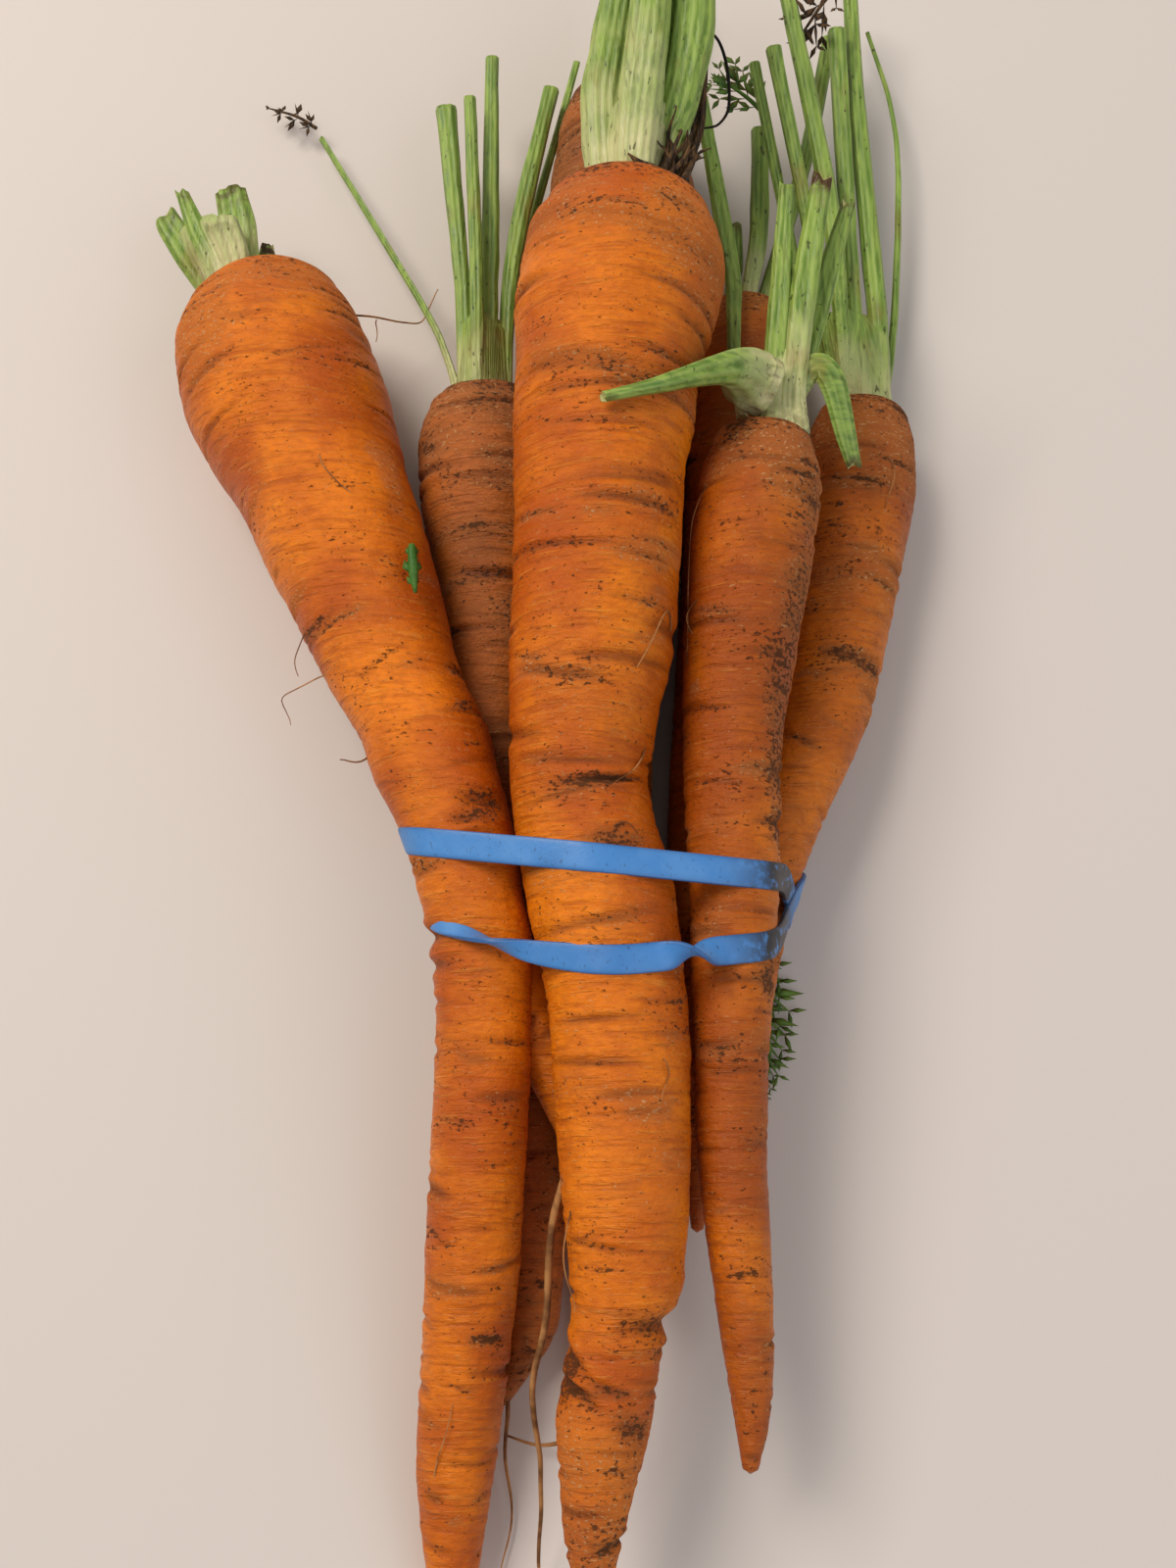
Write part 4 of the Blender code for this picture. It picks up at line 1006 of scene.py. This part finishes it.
def feathery_leaf(stem, ribs, reach, lobes, seed, slim, lobe, facing=(0.0, 0.0, 1.0), curl=0.0,
                  lean=50.0):
    """A carrot leaf: a thin stem with ribs at `lean` degrees on both sides, shorter towards its tip
    as sin(pi * (0.2 + 0.75 * t)); each rib carries narrow lobes on both sides. Lobe is the length
    of the longest as a part of the rib's, slim its width over its length. Curl bends rib and lobe
    out of the leaf's plane, as drying does."""
    rng = np.random.default_rng(seed)
    face = unit(np.array(facing, float))
    count = 60
    path = smooth_curve(stem, count)
    tangent, side, _ = directions(path, tuple(face))
    where = np.repeat(np.linspace(0.10, 0.97, ribs), 2)
    hand = np.tile([1.0, -1.0], ribs)
    row = (where * (count - 1)).astype(int)
    angle = np.radians(lean + rng.normal(0.0, 7.0, 2 * ribs)) * (1.0 - 0.35 * where)
    along, out = tangent[row], side[row] * hand[:, None]
    bend = curl * rng.uniform(-1.0, 1.0, (2 * ribs, 1))
    course = unit(np.cos(angle)[:, None] * along + np.sin(angle)[:, None] * out + bend * face)
    length = reach * np.sin(math.pi * (0.2 + 0.75 * where)) * rng.uniform(0.8, 1.15, 2 * ribs)
    start = path[row, :3]
    parts = [blades(start, course, np.broadcast_to(face, start.shape), length, 0.10 + 0.03 * length, 0.12)]
    share = np.tile(np.linspace(0.25, 0.85, lobes), 2)
    side_of = np.repeat([1.0, -1.0], lobes)
    base = start[:, None] + course[:, None] * (length[:, None] * share)[..., None]
    cross = np.cross(face, course)[:, None] * side_of[None, :, None]
    spread = np.radians(rng.normal(38.0, 8.0, (2 * ribs, 2 * lobes)))[..., None]
    shape = (2 * ribs, 2 * lobes, 1)
    twist = curl * rng.uniform(-1.2, 1.2, shape) + rng.uniform(-0.15, 0.15, shape)
    aim = unit(np.cos(spread) * course[:, None] + np.sin(spread) * cross + twist * face)
    size = length[:, None] * lobe * (1.0 - 0.55 * share) * rng.uniform(0.8, 1.2, shape[:2])
    flat_base, flat_aim, flat_size = base.reshape(-1, 3), aim.reshape(-1, 3), size.reshape(-1)
    parts.append(blades(flat_base, flat_aim, unit(np.broadcast_to(face, flat_aim.shape) + 1e-3), flat_size,
                        slim * flat_size + 0.06, 0.11))
    points, quads, triangles, _ = thread(stem, 6, reference=tuple(face))
    parts.append((points, quads, triangles, {"tip": np.full(len(points), 0.2)}))
    return joined(parts)


# Each leaf: its CAD node, its stem by parts of that node's box and radius, and its look.
LEAVES = {
    "frond_small_feathery": (
        "frond_small", frond_green, "green_frond",
        [(0.0, 1.05, 0.5, 0.40), (0.14, 0.72, 0.5, 0.36), (0.22, 0.40, 0.6, 0.30), (0.25, 0.02, 0.7, 0.14)],
        dict(ribs=12, reach=7.0, lobes=2, seed=601, slim=0.11, lean=42.0, lobe=0.85)),
    "frond_hidden_feathery": (
        "frond_hidden", frond_green, "green_frond",
        [(1.0, 0.1, 0.2, 0.50), (0.75, 0.35, 0.5, 0.40), (0.45, 0.62, 0.7, 0.30), (0.10, 0.85, 0.9, 0.14)],
        dict(ribs=5, reach=7.0, lobes=2, seed=607, slim=0.17, curl=0.25, lobe=0.75)),
    "leaf_scrap_forked_lobed": (
        "leaf_scrap_forked", young_green, "green_frond",
        [(0.35, 1.0, 0.7, 0.55), (0.45, 0.6, 0.6, 0.85), (0.5, 0.3, 0.5, 0.7), (0.6, 0.0, 0.4, 0.25)],
        dict(ribs=4, reach=1.6, lobes=1, seed=613, facing=(0.35, 0.1, 1.0), slim=0.75, lean=38.0,
             lobe=0.9)),
    "dry_leaf_right_curled": (
        "dry_leaf_right", dry_matter, "dry_plant",
        [(1.0, 1.0, 1.0, 0.40), (0.6, 0.7, 0.6, 0.34), (0.3, 0.35, 0.4, 0.28), (0.0, 0.0, 0.2, 0.14)],
        dict(ribs=5, reach=6.0, lobes=2, seed=617, slim=0.15, curl=0.9, lobe=0.8)),
    "dry_leaf_muddy_curled": (
        "dry_leaf_muddy", dry_matter, "dry_plant",
        [(1.0, 0.0, 0.5, 0.40), (0.6, 0.45, 0.6, 0.30), (0.0, 0.8, 0.6, 0.14)],
        dict(ribs=4, reach=3.8, lobes=1, seed=619, slim=0.18, curl=0.7, lobe=0.8)),
}
for name, (node, material, slot, stem, look) in LEAVES.items():
    make_piece(name, feathery_leaf(inside_box(node, stem), **look), material, [node])


def fibre_tuft(name, count, spread, length, seed):
    """Torn brown fibres of old leaf bases: threads from one foot in front of a dry sheath, fanned
    by a random angle and bent by soft noise, and one scale that hooks over to the left."""
    rng = np.random.default_rng(seed)
    low, high = box_mm(name)
    foot = np.array([low[0] + 0.2, low[1] - 0.6, high[2] + 6.2])
    hook = [(0.6, -0.6, -0.6, 0.7), (-2.6, 0.2, 2.4, 0.75), (-5.0, 0.8, 3.4, 0.55), (-6.8, 2.4, 3.4, 0.15)]
    parts = []
    for index in range(count):
        lean = rng.uniform(-spread, spread, 3) * (1.0, 0.4, 0.6)
        ahead = unit(np.array([0.30, 1.0, -0.22]) + lean)
        size = length * rng.uniform(0.35, 1.0)
        start = foot + rng.uniform(-1.0, 1.0, 3) * (2.6, 0.8, 1.4)
        over = rng.uniform(-0.30, 0.30, 3) * size
        route = [(*(start - 1.5 * ahead), 0.42), (*(start + 0.4 * size * ahead), 0.38),
                 (*(start + 0.8 * size * ahead + 0.3 * over), 0.26), (*(start + size * ahead + over), 0.10)]
        parts.append(thread(route, 6, ripple=0.5, seed=seed + 1 + index))
    hooked = [(*(foot + station[:3]), station[3]) for station in hook]
    parts.append(thread(hooked, 9, ripple=0.2, seed=seed))
    return joined(parts)


make_piece("torn_leaf_bases", fibre_tuft("dry_sheath_center", 26, 0.42, 13.0, 631), dry_matter)


# ---------------------------------------------------------------- rubber band

BAND_WIDTH = 4.2
BAND_THICKNESS = 0.9
# Less than nothing, because the band's tight pull presses it this far into the skins.
BAND_GAP = -0.45
BAND_STEPS = 620
BAND_SIDES = 40
SECTION_POWER = 5.0
# Places on the turn round the bunch, and how far round each change spreads.
BAND_CROSSING = math.radians(-3.0)
CROSSING_SPREAD = math.radians(17.0)
VALLEYS = (math.radians(55.0), math.radians(146.0))
TWIST_SPREADS = (math.radians(17.0), math.radians(24.0))
# The second turn pulls the strand thin just past its valley, and up the left root by this much.
PULL_PAST, PULL_SPREAD, PULL_THIN = math.radians(6.0), math.radians(30.0), 0.42
CLIMB_PAST, CLIMB_SPREAD, CLIMB = math.radians(24.0), math.radians(26.0), 3.0
# Where the strands cross they are squeezed narrower, and a shadow is painted on the band beside them.
SQUEEZE_SPREAD, SQUEEZE = math.radians(8.0), 0.12
SHADOW_PAST, SHADOW_SPREAD, SHADOW_STRENGTH = 0.32, 0.26, 1.5
# The band's own box says where the bunch's middle is; the strands lie in slanted planes round it.
band_low, band_high = box_mm("rubber_band")
BAND_MIDDLE = (band_low + band_high)[[0, 2]] / 2.0
# A strand's plane is y = level + across * x + rise * z.
UPPER_STRAND = (-23.85, -0.10, -0.20)
LOWER_STRAND = (-31.66, 0.0, -0.39)


def strand_sections(rings, plane, shift):
    """Flat (x, z) points where the lines along a root cross the slanted plane moved along +Y."""
    level, across, rise = plane
    depth = rings[..., 1] - level - shift - across * rings[..., 0] - rise * rings[..., 2]
    row, column = np.nonzero(depth[:-1] * depth[1:] < 0.0)
    start, end = rings[row, column], rings[row + 1, column]
    part = depth[row, column] / (depth[row, column] - depth[row + 1, column])
    return (start + part[:, None] * (end - start))[:, (0, 2)]


def strand_line(plane, shift, angle):
    """A strand's line round the bunch at one distance along its width: the tight outline of the
    roots' sections, pushed out by the gap and half the band's thickness."""
    cuts = np.vstack([strand_sections(rings, plane, shift) for rings in plain_roots]) - BAND_MIDDLE
    radius = tight_outline(cuts, BAND_GAP + BAND_THICKNESS / 2.0, angle)
    x, z = BAND_MIDDLE[0] + radius * np.cos(angle), BAND_MIDDLE[1] + radius * np.sin(angle)
    return np.stack([x, plane[0] + shift + plane[1] * x + plane[2] * z, z], axis=1)


def swing(value):
    """Rises smoothly from 0 to 1 while the value goes from -1 to 1."""
    return fade((value + 1.0) / 2.0)


def band_surface():
    """The band: a flat oval section carried twice round the bunch. Its strands change places at the
    crossing on the right, one passing over the other, and the lower strand turns half over in each
    of two valleys. The section is |a| ** 5 + |b| ** 5 = 1, scaled to the width and thickness."""
    steps = int(BAND_STEPS * COARSE)
    turned = 2.0 * TURN * np.arange(steps) / steps
    angle = BAND_CROSSING + turned
    upper = (swing(turned / CROSSING_SPREAD) - swing((turned - TURN) / CROSSING_SPREAD)
             + swing((turned - 2.0 * TURN) / CROSSING_SPREAD))[:, None]
    half = BAND_WIDTH / 2.0
    edges = [upper * strand_line(UPPER_STRAND, shift, angle)
             + (1.0 - upper) * strand_line(LOWER_STRAND, shift, angle) for shift in (-half, half)]
    centre = softened((edges[0] + edges[1]) / 2.0, 1.5)
    over = 1.0 - swing((abs(turned - TURN) / CROSSING_SPREAD - 1.0) / 0.45)
    tangent = np.roll(centre, -1, axis=0) - np.roll(centre, 1, axis=0)
    tangent /= np.linalg.norm(tangent, axis=1)[:, None]
    across = softened(edges[1] - edges[0], 4.0)
    outward = np.cross(across, tangent)
    outward /= np.linalg.norm(outward, axis=1)[:, None]
    across = np.cross(tangent, outward)
    centre = centre + over[:, None] * 0.6 * (BAND_THICKNESS + BAND_GAP) * outward
    first, second = (TURN + valley - BAND_CROSSING for valley in VALLEYS)
    twist = math.pi * (swing((turned - first) / TWIST_SPREADS[0])
                       - swing((turned - second) / TWIST_SPREADS[1]))
    pulled = bell((turned - second - PULL_PAST) / PULL_SPREAD)
    narrow = 1.0 - PULL_THIN * pulled - SQUEEZE * bell((turned - TURN) / SQUEEZE_SPREAD)
    lift = np.abs(np.sin(twist)) * BAND_WIDTH / 2.0 * narrow * 0.7
    centre = centre + lift[:, None] * outward
    centre[:, 1] += CLIMB * bell((turned - second - CLIMB_PAST) / CLIMB_SPREAD)
    around = TURN * (np.arange(BAND_SIDES) + 0.5) / BAND_SIDES
    power = 2.0 / SECTION_POWER
    wide = BAND_WIDTH / 2.0 * np.sign(np.cos(around)) * np.abs(np.cos(around)) ** power
    thick = BAND_THICKNESS / 2.0 * np.sign(np.sin(around)) * np.abs(np.sin(around)) ** power
    cosine, sine = np.cos(twist)[:, None, None], np.sin(twist)[:, None, None]
    rings = (centre[:, None]
             + narrow[:, None, None] * wide[:, None] * (cosine * across[:, None] - sine * outward[:, None])
             + thick[:, None] * (cosine * outward[:, None] + sine * across[:, None]))
    rows, sides = rings.shape[:2]
    row, column = np.meshgrid(np.arange(rows), np.arange(sides), indexing="ij")
    quads = np.stack([row * sides + column, row * sides + (column + 1) % sides,
                      (row + 1) % rows * sides + (column + 1) % sides,
                      (row + 1) % rows * sides + column], axis=-1)
    # How near a point lies to the section's side edges, for the painted shade there.
    edge = np.broadcast_to(np.abs(wide) / wide.max(), (rows, sides)) ** 6
    # Painted shadow of the crossing strand, just past the crossing.
    past = np.mod(angle - BAND_CROSSING - SHADOW_PAST + math.pi, TURN) - math.pi
    dirt_and_shadow = np.repeat(SHADOW_STRENGTH * bell(past / SHADOW_SPREAD), sides)
    values = {"edge": edge.ravel(), "dirt_and_shadow": dirt_and_shadow}
    return rings.reshape(-1, 3), quads.reshape(-1, 4)[:, ::-1], np.zeros((0, 3), dtype=int), values


make_piece("rubber_band_blue", band_surface(), band_blue, ["rubber_band"])


# ---------------------------------------------------------------- rootlets

def skin_point(name, down, angle, lift):
    """The point over a root's skin: out from its centre line at that angle, `lift` above the skin."""
    path, crown_y = root_paths[name]
    where = [np.interp(down, crown_y - path[:, 1], path[:, k]) for k in range(4)]
    turn = math.radians(angle)
    reach = where[3] + lift
    return (where[0] + reach * math.cos(turn), crown_y - down, where[2] + reach * math.sin(turn))


# Rootlets: root, then (down, angle, lift) stations in millimetres and degrees, first radius, last
# radius, ripple.
HAIRS = [
    ("root_forked", [(65.0, 160.0, -0.3), (67.0, 173.0, 2.1), (69.5, 181.0, 4.6), (71.8, 188.0, 5.4)],
     0.13, 0.07, 0.5),
    ("root_forked", [(73.0, 163.0, -0.3), (73.8, 172.0, 3.0), (75.0, 182.0, 7.0), (75.9, 189.0, 10.2),
                     (77.5, 193.0, 11.2), (79.3, 195.0, 11.6)], 0.14, 0.06, 0.5),
    ("root_forked", [(86.5, 168.0, -0.3), (87.2, 178.0, 2.2), (86.4, 185.0, 5.0)], 0.20, 0.10, 0.2),
    ("root_forked", [(38.0, 82.0, -0.2), (41.0, 86.0, 0.4), (45.0, 80.0, 0.4), (47.0, 70.0, -0.1)],
     0.12, 0.08, 0.4),
    ("root_forked", [(192.0, 120.0, -0.2), (188.0, 110.0, 0.6), (184.0, 100.0, 0.9), (180.0, 96.0, 0.2)],
     0.12, 0.06, 0.3),
    ("root_center", [(71.0, 20.0, -0.3), (69.0, 34.0, 0.6), (74.0, 48.0, 0.7), (79.0, 56.0, 0.2)],
     0.13, 0.07, 0.4),
    ("root_center", [(86.0, 24.0, -0.3), (89.0, 30.0, 0.8), (92.0, 44.0, 0.8), (94.0, 62.0, 0.2)],
     0.15, 0.07, 0.3),
    ("root_center", [(101.5, 80.0, -0.2), (99.5, 62.0, 0.5), (101.0, 50.0, 0.5)], 0.11, 0.06, 0.3),
    ("root_center", [(131.0, 60.0, -0.2), (134.0, 50.0, 0.4), (138.0, 58.0, 0.3)], 0.10, 0.05, 0.3),
    ("root_center", [(152.0, 150.0, -0.3), (158.0, 158.0, 0.8), (166.0, 150.0, 0.6)], 0.12, 0.06, 0.4),
    ("root_center", [(146.0, 186.0, -1.5), (154.5, 188.0, 1.9), (166.7, 201.0, 4.4), (174.9, 206.0, 5.4),
                     (180.5, 212.0, 5.2), (187.6, 227.0, 6.6), (194.9, 238.0, 9.8), (203.0, 243.0, 15.0)],
     0.62, 0.26, 0.25),
    ("root_small", [(10.0, 150.0, -0.2), (16.0, 165.0, 0.9), (26.0, 160.0, 0.8), (38.0, 158.0, 0.3)],
     0.10, 0.06, 0.4),
    ("root_small", [(28.0, 140.0, -0.2), (31.0, 152.0, 0.8), (34.0, 148.0, 0.2)], 0.10, 0.06, 0.3),
    ("root_right", [(12.0, 70.0, -0.2), (16.0, 60.0, 0.6), (22.0, 64.0, 0.3)], 0.10, 0.06, 0.3),
]
# A shoulder rootlet of the forked root and its twigs: (x, y, z) steps from where it starts, first
# radius, last radius.
SHOULDER_HAIR_FOOT = (6.2, 12.0, -0.6)
SHOULDER_HAIRS = [
    ([(0, 0, 0), (2.6, 1.3, -2.6), (5.2, 2.6, -5.6), (8.4, 4.0, -8.8), (11.2, 5.2, -11.0),
      (12.6, 8.8, -12.0), (14.0, 12.6, -12.0)], 0.20, 0.10),
    ([(4.2, 2.2, -5.0), (4.3, 0.2, -5.4), (4.2, -1.8, -5.6)], 0.12, 0.07),
    ([(12.4, 8.2, -11.8), (13.4, 5.6, -12.0), (14.8, 3.4, -12.0)], 0.12, 0.06),
]
# Tails that go on from a root's tip: the same, with ripple and seed.
TAILS = [
    ("root_muddy", [(0, 6, 1.5), (1.0, -1.0, 0.2), (0.6, -8.0, -1.6), (1.4, -16.0, -2.6),
                    (0.2, -24.0, -3.2)], 0.45, 0.10, 0.4, 501),
    ("root_long", [(2, 3, 0.5), (-1.6, -3.0, 0.4), (-6.0, -4.5, 0.0), (-11.0, -3.0, 0.0)],
     0.50, 0.16, 0.3, 503),
]


def hair(points, thick, thin, ripple, seed, sides=6):
    """A rootlet through points, its radius falling evenly from thick to thin."""
    sizes = np.linspace(thick, thin, len(points))
    route = [(*point, size) for point, size in zip(points, sizes)]
    return thread(route, sides, ripple=ripple, seed=seed)


hair_parts = []
foot = np.array(skin_point("root_forked", *SHOULDER_HAIR_FOOT))
for index, (steps, thick, thin) in enumerate(SHOULDER_HAIRS):
    hair_parts.append(hair(foot + np.array(steps, float), thick, thin, 0.35, 390 + index))
for index, (root, stations, thick, thin, ripple) in enumerate(HAIRS):
    points = [skin_point(root, *station) for station in stations]
    hair_parts.append(hair(points, thick, thin, ripple, 400 + index))
for root, steps, thick, thin, ripple, seed in TAILS:
    tip = root_paths[root][0][-1, :3]
    hair_parts.append(hair(tip + np.array(steps, float), thick, thin, ripple, seed, 7))
make_piece("rootlets", joined(hair_parts), hair_tan)


# ---------------------------------------------------------------- floor, light, camera

HALF_FLOOR = 2.5
floor_mesh = bpy.data.meshes.new("floor")
floor_mesh.from_pydata([(-HALF_FLOOR, -HALF_FLOOR, 0.0), (HALF_FLOOR, -HALF_FLOOR, 0.0),
                        (HALF_FLOOR, HALF_FLOOR, 0.0), (-HALF_FLOOR, HALF_FLOOR, 0.0)], [],
                       [(0, 1, 2, 3)])
# Matt painted board: pale, slightly warm, with hardly any shine.
floor_material, _, floor_shader = new_material("painted board, matt", Roughness=0.7)
floor_shader.inputs["Base Color"].default_value = linear("#D4CCC6")
floor_mesh.materials.append(floor_material)
floor = bpy.data.objects.new("floor", floor_mesh)
bpy.context.collection.objects.link(floor)


def soft_light(name, place, aim, size, power, colour):
    """A square soft light that points from its place to its aim, in metres and watts."""
    light = bpy.data.lights.new(name, "AREA")
    light.shape = "SQUARE"
    light.size = size
    light.energy = power
    light.color = linear(colour)[:3]
    lamp = bpy.data.objects.new(name, light)
    lamp.location = place
    lamp.rotation_euler = (Vector(aim) - Vector(place)).to_track_quat("-Z", "Y").to_euler()
    bpy.context.collection.objects.link(lamp)


soft_light("key", (-0.55, 0.45, 0.95), (0.0, 0.0, 0.0), 0.55, 10.8, "#FFF5EA")
soft_light("fill", (0.7, -0.5, 0.8), (0.0, 0.0, 0.0), 0.9, 4.0, "#EEF3FF")

scene = bpy.context.scene
world = bpy.data.worlds.new("room")
world.use_nodes = True
backdrop = world.node_tree.nodes["Background"]
backdrop.inputs["Color"].default_value = linear("#F4EFE8")
backdrop.inputs["Strength"].default_value = 0.39
scene.world = world
scene.view_settings.view_transform = "Standard"

# The camera looks at AIM from DISTANCE metres away, tilted from straight down towards the roots' tips.
TILT = math.radians(15.0)
AIM = Vector((0.009312, -0.011383, -0.000188))
DISTANCE = 0.265
lens = bpy.data.cameras.new("camera")
lens.lens = 36.0
lens.sensor_width = 36.0
lens.dof.use_dof = False
lens.clip_start = 0.01
camera = bpy.data.objects.new("camera", lens)
camera.location = AIM + DISTANCE * Vector((0.0, -math.sin(TILT), math.cos(TILT)))
camera.rotation_euler = (TILT, 0.0, 0.0)
bpy.context.collection.objects.link(camera)
scene.camera = camera
